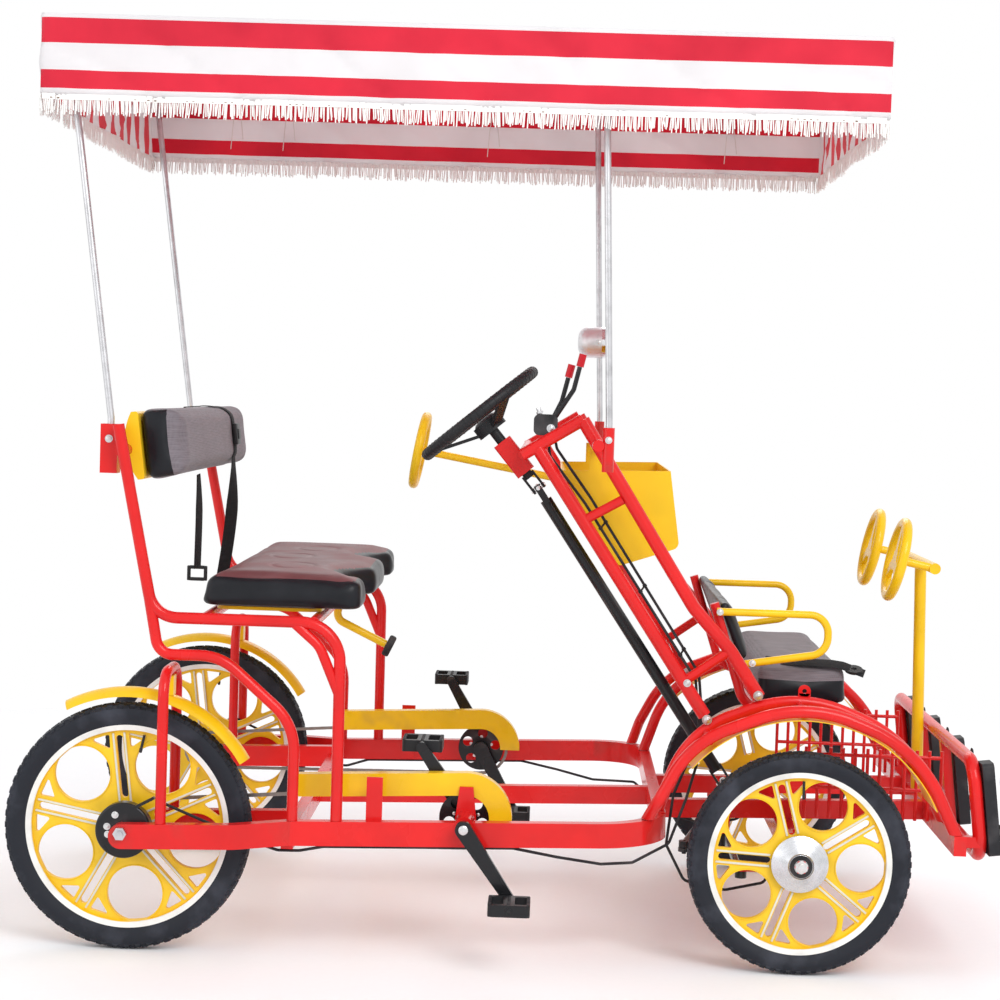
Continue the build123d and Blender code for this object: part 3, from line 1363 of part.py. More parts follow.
# Chains: closed loops round the chainring and the sprocket
chain_clearance = 0.4
with BuildPart() as chains:
    with BuildSketch(Plane.XZ.offset(chain_y - chain_width / 2)) as loop:
        ring_place = (ahead(crank_ahead), crank_z)
        sprocket_place = (ahead(0), rear_tyre_radius)
        with Locations(ring_place):
            Circle(chainring_tip_radius + chain_clearance + chain_height)
        with Locations(sprocket_place):
            Circle(sprocket_tip_radius + chain_clearance + chain_height)
        make_hull()
        with BuildSketch(mode=Mode.SUBTRACT):
            with Locations(ring_place):
                Circle(chainring_tip_radius + chain_clearance)
            with Locations(sprocket_place):
                Circle(sprocket_tip_radius + chain_clearance)
            make_hull()
    extrude(loop.sketch, amount=chain_width)
    mirror(about=Plane.XZ)
chains.part.label = "chains"
export_step(chains.part, "parts/chains.step")

# Brake cables: from the levers down the near ladder, under the frame and back to the drums
cable_radius = 3
cable_top_z = 1100 - 22 - seat_gap
cable_under = rail_height / 2 + cable_radius + seat_gap
cross_under = low_rail_z(rear_cross_ahead) - low_rail_height / 2 - cable_radius - 3
arm_tip_y = drum_outer_y - 6


def drum_run(side_sign):
    """Points of a cable's last run, under one main rail and back to its drum."""
    return [
        (ahead(wheelbase - 403), side_sign * (half_track - 8), 208),
        (ahead(wheelbase - 493), side_sign * (half_track + 20), 225),
        (ahead(wheelbase - 583), side_sign * rail_half_track, rail_z(wheelbase - 583) - cable_under),
        (ahead(rear_cross_ahead + 75), side_sign * rail_half_track, rail_z(rear_cross_ahead + 75) - cable_under),
        (ahead(rear_cross_ahead + 24), side_sign * (half_track + 12), cross_under),
        (ahead(rear_cross_ahead - 20), side_sign * (half_track + 16), cross_under),
        (ahead(rear_cross_ahead - 85), side_sign * (half_track + 40), 242),
        (ahead(66), side_sign * arm_tip_y, 318),
    ]


near_cable = [
    (ahead(wheelbase - 541), 155 - half_track, cable_top_z),
    (ahead(wheelbase - 535), 155 - half_track, 1035),
    (ahead(wheelbase - 458), 155 - half_track, 938),
    (ahead(wheelbase - 213), 155 - half_track, 575),
    (ahead(wheelbase - 201), 155 - half_track, 460),
    (ahead(wheelbase - 205), 138 - half_track, 400),
    (ahead(wheelbase - 229), 80 - half_track, 335),
    (ahead(wheelbase - 263), 54 - half_track, 246),
    (ahead(wheelbase - 338), 24 - half_track, 210),
]
far_cable = [
    (ahead(wheelbase - 527), 178 - half_track, cable_top_z),
    (ahead(wheelbase - 521), 178 - half_track, 1050),
    (ahead(wheelbase - 447), 178 - half_track, 950),
    (ahead(wheelbase - 205), 178 - half_track, 585),
    (ahead(wheelbase - 193), 178 - half_track, 470),
    (ahead(wheelbase - 251), 155 - half_track, 330),
    (ahead(wheelbase - 263), 148 - half_track, 225),
    (ahead(wheelbase - 223), 148 - half_track, 150),
    (ahead(wheelbase - 136), 148 - half_track, 133),
    (ahead(wheelbase - 55), 155 - half_track, 150),
    (ahead(wheelbase - 9), 210 - half_track, 206),
    (ahead(wheelbase - 9), half_track - 210, 206),
    (ahead(wheelbase - 55), half_track - 155, 150),
    (ahead(wheelbase - 136), half_track - 148, 133),
    (ahead(wheelbase - 223), half_track - 148, 160),
    (ahead(wheelbase - 303), half_track - 60, 215),
]
with BuildPart() as brake_cables:
    round_tube(near_cable + drum_run(-1), cable_radius, 18)
    round_tube(far_cable + drum_run(1), cable_radius, 18)
brake_cables.part.label = "brake_cables"
export_step(brake_cables.part, "parts/brake_cables.step")
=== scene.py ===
"""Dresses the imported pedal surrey: paint, wheels, cloth, cushions and trim, in a studio."""

import logging
import math
import random
from dataclasses import dataclass
from enum import Enum
from functools import cache
from itertools import product

import bmesh
import bpy
from bmesh.types import BMEdge, BMesh, BMVert
from bpy.types import ID, Material, Node, NodeSocket, Object
from mathutils import Matrix, Vector, noise
from mathutils.bvhtree import BVHTree


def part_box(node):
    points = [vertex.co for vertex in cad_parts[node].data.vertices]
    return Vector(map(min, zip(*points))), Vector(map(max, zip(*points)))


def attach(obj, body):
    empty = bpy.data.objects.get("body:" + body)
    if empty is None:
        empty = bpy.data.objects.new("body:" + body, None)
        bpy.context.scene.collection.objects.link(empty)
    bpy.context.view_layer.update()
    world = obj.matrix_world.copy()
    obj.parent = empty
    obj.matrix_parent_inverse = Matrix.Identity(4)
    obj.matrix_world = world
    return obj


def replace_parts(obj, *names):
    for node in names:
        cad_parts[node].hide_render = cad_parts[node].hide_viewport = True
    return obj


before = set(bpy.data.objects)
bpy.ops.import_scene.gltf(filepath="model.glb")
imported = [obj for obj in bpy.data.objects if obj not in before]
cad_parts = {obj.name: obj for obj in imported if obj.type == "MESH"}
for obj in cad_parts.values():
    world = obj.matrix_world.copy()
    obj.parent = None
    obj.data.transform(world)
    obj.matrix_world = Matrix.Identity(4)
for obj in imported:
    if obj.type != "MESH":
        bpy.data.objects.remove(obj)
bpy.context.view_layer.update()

LOG = logging.getLogger("surrey")

Place = Vector | tuple[float, float, float]
Colour = tuple[float, float, float]
Profile = list[tuple[float, float]]

WHEELBASE = 1.373
REAR_AXLE_X = -0.764
HALF_TRACK = 0.5
REAR_RADIUS = 0.254
FRONT_RADIUS = 0.2285
CRANK_AXLE = Vector((-0.074, 0, 0.285))
CRANK_LENGTH = 0.17
STEERING_Y = -0.25
X_AXIS, Y_AXIS, Z_AXIS = Vector((1, 0, 0)), Vector((0, 1, 0)), Vector((0, 0, 1))


def ahead(distance: float) -> float:
    """X of a point that lies this far ahead of the rear axle, in metres."""
    return REAR_AXLE_X + distance


def polar(radius: float, angle: float) -> Vector:
    """A point of the XZ plane at a radius and an angle in radians from ahead towards up."""
    return Vector((math.cos(angle) * radius, 0, math.sin(angle) * radius))


def scaled(colour: Colour, share: float) -> Colour:
    """A darker tone of a colour."""
    return tuple(share * part for part in colour)


# ---- Materials ----


class Shader:
    """A material's node tree, with short calls for the nodes that the finishes share."""

    def __init__(self, name: str) -> None:
        """Start a material with one Principled shader.

        Args:
            name: The material's name.
        """
        self.material = bpy.data.materials.new(name)
        self.material.use_nodes = True
        self.tree = self.material.node_tree
        self.surface = self.tree.nodes["Principled BSDF"]

    def node(self, kind: str, **values: str | float) -> Node:
        """Add a node.

        Args:
            kind: The node's type, without its ShaderNode prefix.
            values: Attributes of the node, or values of its inputs by name.

        Returns:
            The new node.
        """
        made = self.tree.nodes.new("ShaderNode" + kind)
        for name, value in values.items():
            if hasattr(made, name):
                setattr(made, name, value)
            else:
                made.inputs[name.replace("_", " ").title()].default_value = value
        return made

    def link(self, source: NodeSocket, target: NodeSocket) -> None:
        """Join an output to an input."""
        self.tree.links.new(source, target)

    def place(self, scale: Place = (1, 1, 1), origin: Vector = Vector()) -> NodeSocket:
        """Object coordinates, moved so that origin is zero and then scaled.

        Args:
            scale: The scale along each axis.
            origin: The point that becomes zero.

        Returns:
            The mapped vector.
        """
        mapping = self.node("Mapping")
        mapping.inputs["Location"].default_value = [-o * s for o, s in zip(origin, scale)]
        mapping.inputs["Scale"].default_value = scale
        self.link(self.node("TexCoord").outputs["Object"], mapping.inputs["Vector"])
        return mapping.outputs["Vector"]

    def speckle(self, vector: NodeSocket, scale: float, detail: float = 4.0) -> NodeSocket:
        """Noise over a vector.

        Args:
            vector: Where the noise is read.
            scale: The noise's frequency.
            detail: Its octaves.

        Returns:
            The noise's value.
        """
        cloud = self.node("TexNoise", scale=scale, detail=detail)
        self.link(vector, cloud.inputs["Vector"])
        return cloud.outputs["Fac"]

    def maths(
        self, operation: str, first: NodeSocket | float, second: NodeSocket | float = 0.0
    ) -> NodeSocket:
        """One math node.

        Args:
            operation: The node's operation.
            first: Its first value or socket.
            second: Its second value or socket.

        Returns:
            The result.
        """
        made = self.node("Math", operation=operation)
        for index, value in enumerate((first, second)):
            if isinstance(value, NodeSocket):
                self.link(value, made.inputs[index])
            else:
                made.inputs[index].default_value = value
        return made.outputs["Value"]

    def split(self, vector: NodeSocket) -> list[NodeSocket]:
        """The three parts of a vector.

        Args:
            vector: The vector.

        Returns:
            Its X, Y and Z.
        """
        parts = self.node("SeparateXYZ")
        self.link(vector, parts.inputs["Vector"])
        return [parts.outputs[axis] for axis in "XYZ"]

    def blend(
        self, share: NodeSocket, first: Colour | NodeSocket, second: Colour | NodeSocket
    ) -> NodeSocket:
        """Mix two colours.

        Args:
            share: How much of the second shows.
            first: The first colour.
            second: The second colour.

        Returns:
            The mixed colour.
        """
        mixed = self.node("Mix", data_type="RGBA")
        self.link(share, mixed.inputs["Factor"])
        for name, value in (("A", first), ("B", second)):
            socket = next(one for one in mixed.inputs if one.name == name and one.type == "RGBA")
            if isinstance(value, NodeSocket):
                self.link(value, socket)
            else:
                socket.default_value = (*value, 1)
        return next(one for one in mixed.outputs if one.type == "RGBA")

    def ramp(
        self, value: NodeSocket, low: float, high: float, start: float = 0.0, end: float = 1.0
    ) -> NodeSocket:
        """Map a value's range onto another, clamped.

        Args:
            value: The value.
            low: The value that gives start.
            high: The value that gives end.
            start: The result at low.
            end: The result at high.

        Returns:
            The mapped value.
        """
        mapped = self.node("MapRange")
        self.link(value, mapped.inputs["Value"])
        limits = {"From Min": low, "From Max": high, "To Min": start, "To Max": end}
        for name, number in limits.items():
            mapped.inputs[name].default_value = number
        return mapped.outputs["Result"]

    def threads(self, pitch: float, reach: float) -> NodeSocket:
        """Crossing threads, which show on a face whichever way it looks.

        Args:
            pitch: The distance between threads.
            reach: The height of wave that counts as a full thread.

        Returns:
            The threads' height, from 0 to 1.
        """
        turns = math.tau / pitch
        parts = self.split(self.place())
        waves = [self.maths("SINE", self.maths("MULTIPLY", part, turns)) for part in parts]
        crossed = self.maths("ADD", self.maths("MULTIPLY", waves[0], waves[1]), waves[2])
        return self.ramp(crossed, -reach, reach)

    def relief(self, height: NodeSocket, depth: float, strength: float = 1.0) -> None:
        """Bump the surface.

        Args:
            height: The height, from 0 to 1.
            depth: The depth that a height of 1 stands for, in metres.
            strength: The bump's strength.
        """
        bump = self.node("Bump", strength=strength, distance=depth)
        self.link(height, bump.inputs["Height"])
        self.link(bump.outputs["Normal"], self.surface.inputs["Normal"])

    def colour(self, value: Colour | NodeSocket) -> None:
        """Set or link the surface's colour."""
        self.feed("Base Color", (*value, 1) if isinstance(value, tuple) else value)

    def feed(self, name: str, value: float | tuple | NodeSocket) -> None:
        """Set or link one of the surface's inputs.

        Args:
            name: The input's name.
            value: Its value, or the socket that drives it.
        """
        if isinstance(value, NodeSocket):
            self.link(value, self.surface.inputs[name])
        else:
            self.surface.inputs[name].default_value = value


@dataclass(frozen=True)
class Finish:
    """A finish by name; each kind dresses the material's shader in its own way."""

    name: str

    def dress(self, shader: Shader) -> None:
        """Set up the shader, as each kind does."""
        raise NotImplementedError

    def make(self) -> Material:
        """Build the finish's material.

        Returns:
            The material.
        """
        shader = Shader(self.name)
        self.dress(shader)
        return shader.material


@dataclass(frozen=True)
class Paint(Finish):
    """Gloss paint on steel: a little orange peel, duller clouds and thin paint on the edges."""

    tone: Colour
    worn: Colour
    gloss: float = 0.24
    peel: float = 0.00012
    shade: float = 0.82
    reflection: float = 0.22
    wear: float = 0.5

    def dress(self, shader: Shader) -> None:
        """Set up the paint's shader."""
        spot = shader.place()
        broad = shader.speckle(spot, 9.0, 3.0)
        fine = shader.speckle(spot, 260.0, 2.0)
        edge = shader.ramp(shader.node("NewGeometry").outputs["Pointiness"], 0.56, 0.64)
        rubbed = shader.maths("MULTIPLY", edge, shader.ramp(broad, 0.5, 0.62))
        clouds = shader.ramp(broad, 0.3, 0.7)
        base = shader.blend(clouds, scaled(self.tone, self.shade), self.tone)
        shader.colour(shader.blend(shader.maths("MULTIPLY", rubbed, self.wear), base, self.worn))
        shader.feed("Roughness", shader.ramp(broad, 0.3, 0.7, self.gloss, self.gloss + 0.1))
        shader.feed("Specular IOR Level", self.reflection)
        shader.feed("Coat Weight", self.reflection)
        shader.feed("Coat Roughness", 0.1)
        shader.relief(fine, self.peel, 0.5)


@dataclass(frozen=True)
class Metal(Finish):
    """Bare or plated metal with fine drawing lines and faint stains."""

    tone: Colour
    roughness: float = 0.25
    lines: tuple[float, float, float] = (60, 60, 60)
    stain: float = 0.72
    line_depth: float = 0.00004

    def dress(self, shader: Shader) -> None:
        """Set up the metal's shader."""
        cloud = shader.speckle(shader.place(), 30.0, 5.0)
        drawn = shader.speckle(shader.place(self.lines), 1.0, 2.0)
        stains = shader.ramp(cloud, 0.45, 0.75)
        shader.colour(shader.blend(stains, self.tone, scaled(self.tone, self.stain)))
        shader.feed("Metallic", 1.0)
        rough = shader.ramp(drawn, 0.3, 0.7, self.roughness, self.roughness + 0.14)
        shader.feed("Roughness", rough)
        shader.relief(drawn, self.line_depth, 0.3)


@dataclass(frozen=True)
class Rubber(Finish):
    """Moulded rubber with a fine grain and paler clouds that are dust, and on the tyre also a
    painted bluish sheen.
    """

    tone: Colour = (0.018, 0.018, 0.021)
    dust: Colour = (0.075, 0.073, 0.075)
    roughness: float = 0.5
    grain: float = 420.0
    reflection: float = 0.25

    def dress(self, shader: Shader) -> None:
        """Set up the rubber's shader."""
        spot = shader.place()
        cloud = shader.speckle(spot, 14.0, 5.0)
        grain = shader.speckle(spot, self.grain, 3.0)
        # Paler clouds of the second colour: dust, which on the tyre is bluish and also stands for a
        # painted sheen.
        shader.colour(shader.blend(shader.ramp(cloud, 0.48, 0.78), self.tone, self.dust))
        rough = shader.ramp(cloud, 0.35, 0.7, self.roughness, self.roughness + 0.2)
        shader.feed("Roughness", rough)
        shader.feed("Specular IOR Level", self.reflection)
        shader.relief(grain, 0.00012, 0.5)


@dataclass(frozen=True)
class Vinyl(Finish):
    """Leather-grained vinyl: small pebbles with creases between them."""

    tone: Colour
    roughness: float = 0.36
    reflection: float = 0.4
    pebble: float = 520.0
    grain_depth: float = 0.00025

    def dress(self, shader: Shader) -> None:
        """Set up the vinyl's shader."""
        spot = shader.place()
        cells = shader.node("TexVoronoi", scale=self.pebble)
        shader.link(spot, cells.inputs["Vector"])
        cloud = shader.speckle(spot, 11.0, 4.0)
        lit = tuple(min(1.0, 1.5 * part + 0.004) for part in self.tone)
        shader.colour(shader.blend(shader.ramp(cloud, 0.4, 0.75), self.tone, lit))
        rough = shader.ramp(cloud, 0.35, 0.7, self.roughness, self.roughness + 0.14)
        shader.feed("Roughness", rough)
        shader.feed("Specular IOR Level", self.reflection)
        shader.relief(cells.outputs["Distance"], self.grain_depth, 0.45)


@dataclass(frozen=True)
class Weave(Finish):
    """Plain woven cloth: crossing threads, with a slub here and there."""

    tone: Colour
    thread: Colour
    pitch: float = 0.0016
    roughness: float = 0.85
    sheen: float = 0.3
    reflection: float = 0.2
    thread_depth: float = 0.0004

    def dress(self, shader: Shader) -> None:
        """Set up the cloth's shader."""
        woven = shader.threads(self.pitch, 2.0)
        slub = shader.speckle(shader.place((30, 30, 400)), 1.0, 3.0)
        base = shader.blend(shader.ramp(slub, 0.35, 0.7), self.tone, self.thread)
        shader.colour(shader.blend(woven, base, self.thread))
        shader.feed("Roughness", self.roughness)
        shader.feed("Specular IOR Level", self.reflection)
        shader.feed("Sheen Weight", self.sheen)
        shader.relief(woven, self.thread_depth, 0.5)


@dataclass(frozen=True)
class Plastic(Finish):
    """Moulded plastic with a fine spark-eroded texture and slow changes of gloss."""

    tone: Colour
    roughness: float = 0.35
    glow: float = 0.0
    texture: float = 0.00008
    reflection: float = 0.28

    def dress(self, shader: Shader) -> None:
        """Set up the plastic's shader."""
        spot = shader.place()
        broad = shader.speckle(spot, 7.0, 3.0)
        fine = shader.speckle(spot, 900.0, 2.0)
        clouds = shader.ramp(broad, 0.35, 0.7)
        shader.colour(shader.blend(clouds, self.tone, scaled(self.tone, 0.86)))
        shader.feed("Specular IOR Level", self.reflection)
        rough = shader.ramp(broad, 0.35, 0.7, self.roughness, self.roughness + 0.12)
        shader.feed("Roughness", rough)
        if self.glow:
            shader.feed("Subsurface Weight", self.glow)
            shader.feed("Subsurface Radius", (0.01, 0.006, 0.002))
        shader.relief(fine, self.texture, 0.5)


@dataclass(frozen=True)
class Wheel(Finish):
    """Cast-look wheel: painted web inside a pale rim, told apart by the distance from the axle."""

    centre: Place
    rim_radius: float
    web: Colour
    rim: Colour
    rim_depth: float = 0.0115

    def dress(self, shader: Shader) -> None:
        """Set up the wheel's shader."""
        x, _, z = shader.split(shader.place(origin=Vector(self.centre)))
        squares = [shader.maths("MULTIPLY", part, part) for part in (x, z)]
        radius = shader.maths("SQRT", shader.maths("ADD", *squares))
        cloud = shader.speckle(shader.place(), 16.0, 5.0)
        edge = shader.maths("ADD", radius, shader.ramp(cloud, 0.3, 0.7, -0.0006, 0.0006))
        outer = shader.maths("GREATER_THAN", edge, self.rim_radius - self.rim_depth)
        web = shader.blend(shader.ramp(cloud, 0.4, 0.7), self.web, scaled(self.web, 0.8))
        rim = shader.blend(shader.ramp(cloud, 0.45, 0.75), self.rim, scaled(self.rim, 0.75))
        shader.colour(shader.blend(outer, web, rim))
        shader.feed("Roughness", shader.ramp(cloud, 0.3, 0.7, 0.3, 0.46))
        shader.relief(shader.speckle(shader.place(), 500.0, 2.0), 0.0001, 0.5)


@dataclass(frozen=True)
class Canvas(Finish):
    """Thin striped canopy cloth: stripes read off the piece's own across attribute."""

    red: Colour
    white: Colour
    first: float = 0.61
    pitch: float = 0.102
    red_share: float = 0.48
    hem: float = 0.748
    light_through: float = 0.28

    def dress(self, shader: Shader) -> None:
        """Set up the cloth's shader."""
        across = shader.node("Attribute", attribute_name="across").outputs["Fac"]
        from_first = shader.maths("SUBTRACT", across, self.first)
        stripes = shader.maths("MULTIPLY", from_first, 1 / self.pitch)
        part_way = shader.maths("FRACT", shader.maths("ADD", stripes, 20.0))
        striped = shader.maths("LESS_THAN", part_way, self.red_share)
        inside = shader.maths("MULTIPLY", striped, shader.maths("LESS_THAN", across, self.hem))
        woven = shader.threads(0.0022, 1.5)
        cloud = shader.speckle(shader.place(), 5.0, 4.0)
        clouds = shader.ramp(cloud, 0.35, 0.7)
        red = shader.blend(clouds, self.red, scaled(self.red, 0.8))
        white = shader.blend(clouds, self.white, scaled(self.white, 0.92))
        tone = shader.blend(inside, white, red)
        shader.colour(tone)
        shader.feed("Roughness", shader.ramp(cloud, 0.3, 0.7, 0.62, 0.8))
        shader.feed("Sheen Weight", 0.25)
        shader.relief(woven, 0.00025, 0.4)
        through = shader.node("BsdfTranslucent")
        shader.link(tone, through.inputs["Color"])
        both = shader.node("MixShader")
        both.inputs["Fac"].default_value = self.light_through
        shader.link(shader.surface.outputs["BSDF"], both.inputs[1])
        shader.link(through.outputs["BSDF"], both.inputs[2])
        output = shader.tree.nodes["Material Output"]
        shader.link(both.outputs["Shader"], output.inputs["Surface"])


RED = (0.78, 0.014, 0.014)
YELLOW = (0.96, 0.6, 0.01)

FINISHES = {
    finish.name: finish
    for finish in (
        Paint("red_paint", RED, (0.3, 0.04, 0.03), 0.2),
        Paint("yellow_paint", YELLOW, (0.42, 0.24, 0.05)),
        Plastic("yellow_plastic", (0.94, 0.6, 0.015), 0.28, glow=0.05),
        Paint("black_paint", (0.012, 0.012, 0.014), (0.16, 0.15, 0.15)),
        Metal("bright_steel", (0.62, 0.62, 0.64), 0.28, (40, 40, 900)),
        Metal("chrome", (0.78, 0.78, 0.8), 0.09, (20, 20, 300)),
        Metal("alloy", (0.6, 0.61, 0.63), 0.32, (60, 700, 60)),
        # Bluish black with bluish paler clouds: the bluish tint is painted sheen, and the clouds
        # are partly dust.
        Rubber("tyre", (0.014, 0.016, 0.023), (0.05, 0.054, 0.07), 0.46, 330.0),
        Rubber("black_rubber"),
        Plastic("black_plastic", (0.016, 0.016, 0.018), 0.42),
        Plastic("red_plastic", (0.6, 0.01, 0.02), 0.3, glow=0.05),
        Vinyl("black_vinyl", (0.007, 0.008, 0.011), 0.3, 0.24),
        Vinyl("bench_vinyl", (0.15, 0.052, 0.055), 0.4, 0.16),
        Vinyl("dark_vinyl", (0.05, 0.042, 0.044), 0.4),
        Weave("grey_vinyl", (0.12, 0.105, 0.118), (0.225, 0.2, 0.22), 0.0034, sheen=0.15),
        Weave("black_webbing", (0.006, 0.006, 0.007), (0.02, 0.02, 0.022), 0.0022, sheen=0.02),
        Weave("white_fringe", (0.9, 0.88, 0.84), (0.97, 0.96, 0.93), 0.0012),
        Canvas("canopy_cloth", (0.86, 0.014, 0.05), (0.93, 0.915, 0.92)),
        Metal("brushed", (0.7, 0.71, 0.74), 0.2, (90, 900, 90)),
        Metal("zinc", (0.72, 0.72, 0.72), 0.24),
        Metal("lamp_shell", (0.8, 0.8, 0.82), 0.42),
        Metal("chain_steel", (0.3, 0.28, 0.26), 0.4),
        Plastic("lens", (0.8, 0.82, 0.84), 0.08),
        Plastic("ties", (0.78, 0.76, 0.72), 0.5),
        # Brown for the marks on the fringe's head: painted shade in the gaps between cords.
        Plastic("thread", (0.2, 0.09, 0.04), 0.7),
        Paint("rib_cream", (0.78, 0.76, 0.64), (0.4, 0.38, 0.3), 0.3),
    )
}


@cache
def material(name: str) -> Material:
    """The named finish's material, made on first use."""
    return FINISHES[name].make()


# ---- Shapes ----

SAME_PLACE = 1e-6


def upright(axis: Place) -> Matrix:
    """A turn that takes +Z to the given direction."""
    return Vector(axis).to_track_quat("Z", "Y").to_matrix().to_4x4()


def axes(first: Vector, second: Vector, third: Vector) -> Matrix:
    """A turn that takes X, Y and Z to three directions."""
    return Matrix((first, second, third)).transposed().to_4x4()


def is_level(edge: BMEdge) -> bool:
    """Whether an edge's ends lie at one height."""
    return abs(edge.verts[0].co.z - edge.verts[1].co.z) < SAME_PLACE


def edges_of(verts: list[BMVert]) -> list[BMEdge]:
    """All edges that touch some vertices."""
    return list({edge for vert in verts for edge in vert.link_edges})


def add_object(name: str, data: ID) -> Object:
    """Make an object and link it to the scene.

    Args:
        name: The object's name.
        data: Its mesh, camera or light.

    Returns:
        The object.
    """
    made = bpy.data.objects.new(name, data)
    bpy.context.scene.collection.objects.link(made)
    return made


def add_mesh(name: str, mesh: BMesh) -> Object:
    """Make an object of a finished mesh.

    Args:
        name: The object's name.
        mesh: The mesh, which is freed.

    Returns:
        The object.
    """
    data = bpy.data.meshes.new(name)
    mesh.to_mesh(data)
    mesh.free()
    return add_object(name, data)


class Shape:
    """A mesh under construction: bmesh forms placed in the frame, then made into one object."""

    def __init__(self, name: str, body: str = "frame") -> None:
        """Start an empty mesh.

        Args:
            name: The finished object's name.
            body: The body that it moves with.
        """
        self.name = name
        self.body = body
        self.mesh = bmesh.new()

    def move(self, verts: list[BMVert], matrix: Matrix) -> None:
        """Transform some of the vertices."""
        bmesh.ops.transform(self.mesh, matrix=matrix, verts=verts)

    def soften(self, edges: list[BMEdge], verts: list[BMVert], width: float) -> list[BMVert]:
        """Bevel edges.

        Args:
            edges: The edges.
            verts: The vertices of the whole piece.
            width: The bevel's width.

        Returns:
            The vertices of the bevelled piece.
        """
        options = {"affect": "EDGES", "segments": 2, "profile": 0.5, "material": -1}
        made = bmesh.ops.bevel(self.mesh, geom=edges, offset=width, **options)
        return [vert for vert in {*verts, *made["verts"]} if vert.is_valid]

    def box(
        self, centre: Place, size: Place, turn: Matrix = Matrix(), round_off: float = 0.0
    ) -> None:
        """Add a box.

        Args:
            centre: Its middle.
            size: Its length along each of its own axes.
            turn: The turn of its axes.
            round_off: The width of its bevelled edges.
        """
        verts = bmesh.ops.create_cube(self.mesh, size=1)["verts"]
        bmesh.ops.scale(self.mesh, vec=size, verts=verts)
        if round_off:
            verts = self.soften(edges_of(verts), verts, round_off)
        self.move(verts, Matrix.Translation(centre) @ turn)

    def rod(
        self,
        start: Place,
        end: Place,
        radius: float,
        sides: int = 20,
        tip: float | None = None,
        round_off: float = 0.0,
    ) -> None:
        """Add a cylinder or a cone between two points.

        Args:
            start: The middle of its first end.
            end: The middle of its second end.
            radius: The first end's radius.
            sides: Its faces around.
            tip: The second end's radius, where it differs.
            round_off: The width of the bevel round both ends.
        """
        start, end = Vector(start), Vector(end)
        run = end - start
        top = radius if tip is None else tip
        verts = bmesh.ops.create_cone(
            self.mesh, cap_ends=True, segments=sides, radius1=radius, radius2=top, depth=run.length
        )["verts"]
        if round_off:
            rims = [edge for edge in edges_of(verts) if is_level(edge)]
            verts = self.soften(rims, verts, round_off)
        self.move(verts, Matrix.Translation((start + end) / 2) @ upright(run))

    def lathe(
        self, profile: Profile, centre: Place, axis: Place, steps: int, closed: bool = False
    ) -> None:
        """Spin a profile about an axis.

        Args:
            profile: Points as (radius, distance along the axis).
            centre: The point on the axis that distances count from.
            axis: The axis.
            steps: The steps in a full turn.
            closed: Whether the profile's ends are joined.
        """
        before = set(self.mesh.verts)
        points = [self.mesh.verts.new((radius, 0, along)) for radius, along in profile]
        pairs = list(zip(points, points[1:])) + ([(points[-1], points[0])] if closed else [])
        edges = [self.mesh.edges.new(pair) for pair in pairs]
        turn = {"cent": Vector(), "axis": Z_AXIS, "angle": math.tau, "use_merge": True}
        bmesh.ops.spin(self.mesh, geom=points + edges, steps=steps, **turn)
        verts = [vert for vert in self.mesh.verts if vert not in before]
        bmesh.ops.remove_doubles(self.mesh, verts=verts, dist=SAME_PLACE)
        verts = [vert for vert in verts if vert.is_valid]
        faces = list({face for vert in verts for face in vert.link_faces})
        bmesh.ops.recalc_face_normals(self.mesh, faces=faces)
        self.move(verts, Matrix.Translation(centre) @ upright(axis))

    def ring(
        self, radii: tuple[float, float], half: float, centre: Place, axis: Place, steps: int
    ) -> None:
        """Add a ring of square section.

        Args:
            radii: Its inner and outer radius.
            half: Half its width along the axis.
            centre: Its middle.
            axis: Its axis.
            steps: The steps in a full turn.
        """
        inner, outer = radii
        profile = [(inner, -half), (outer, -half), (outer, half), (inner, half)]
        self.lathe(profile, centre, axis, steps, closed=True)

    def hexagon(self, centre: Vector, out: Vector, width: float, height: float) -> None:
        """Add a bolt head, a hexagon with softened rims, that stands on a place."""
        radius = width / 2 / math.cos(math.pi / 6)
        self.rod(centre, centre + out * height, radius, 6, round_off=height * 0.12)

    def bolt(self, centre: Place, axis: Place, width: float) -> None:
        """Add a washer, a hexagon and the end of a thread, standing on a surface.

        Args:
            centre: The point on the surface.
            axis: The direction out of it.
            width: The hexagon's width across its flats.
        """
        centre, out = Vector(centre), Vector(axis).normalized()
        self.rod(centre - out * 0.001, centre + out * 0.0014, width * 0.8)
        self.hexagon(centre + out * 0.0012, out, width, width * 0.5)
        self.rod(centre, centre + out * width * 0.75, width * 0.27, 12, round_off=0.0006)

    def dome(self, centre: Place, axis: Place, radius: float, height: float) -> None:
        """Add a domed cap that stands on a surface.

        Args:
            centre: The point on the surface.
            axis: The direction out of it.
            radius: The cap's radius.
            height: Its height.
        """
        angles = [step * math.pi / 12 for step in range(7)]
        steps = [(math.sin(angle) * radius, math.cos(angle) * height) for angle in angles]
        self.lathe([*steps, (radius, -0.001), (0, -0.001)], centre, axis, 16)

    def tube(
        self,
        points: list[Vector],
        radius: float = 1.0,
        sides: int = 12,
        flat: tuple[float, float] = (1, 1),
        ups: list[Vector] | None = None,
    ) -> None:
        """Sweep a round or flattened ring along points.

        Args:
            points: The centre line.
            radius: The ring's radius.
            sides: The ring's points.
            flat: The ring's scale across and along the up direction.
            ups: The direction that the ring's second axis leans to, at each point.
        """
        last = len(points) - 1
        before = None
        for index, point in enumerate(points):
            run = (points[min(index + 1, last)] - points[max(index - 1, 0)]).normalized()
            side = run.cross(ups[index] if ups else Z_AXIS)
            side = side.normalized() if side.length > 1e-4 else run.orthogonal().normalized()
            turn = axes(side * flat[0], side.cross(run) * flat[1], run)
            ring = bmesh.ops.create_circle(self.mesh, segments=sides, radius=radius)["verts"]
            self.move(ring, Matrix.Translation(point) @ turn)
            edges = edges_of(ring)
            if before:
                bmesh.ops.bridge_loops(self.mesh, edges=before + edges)
            if index in (0, last):
                bmesh.ops.edgeloop_fill(self.mesh, edges=edges)
            before = edges

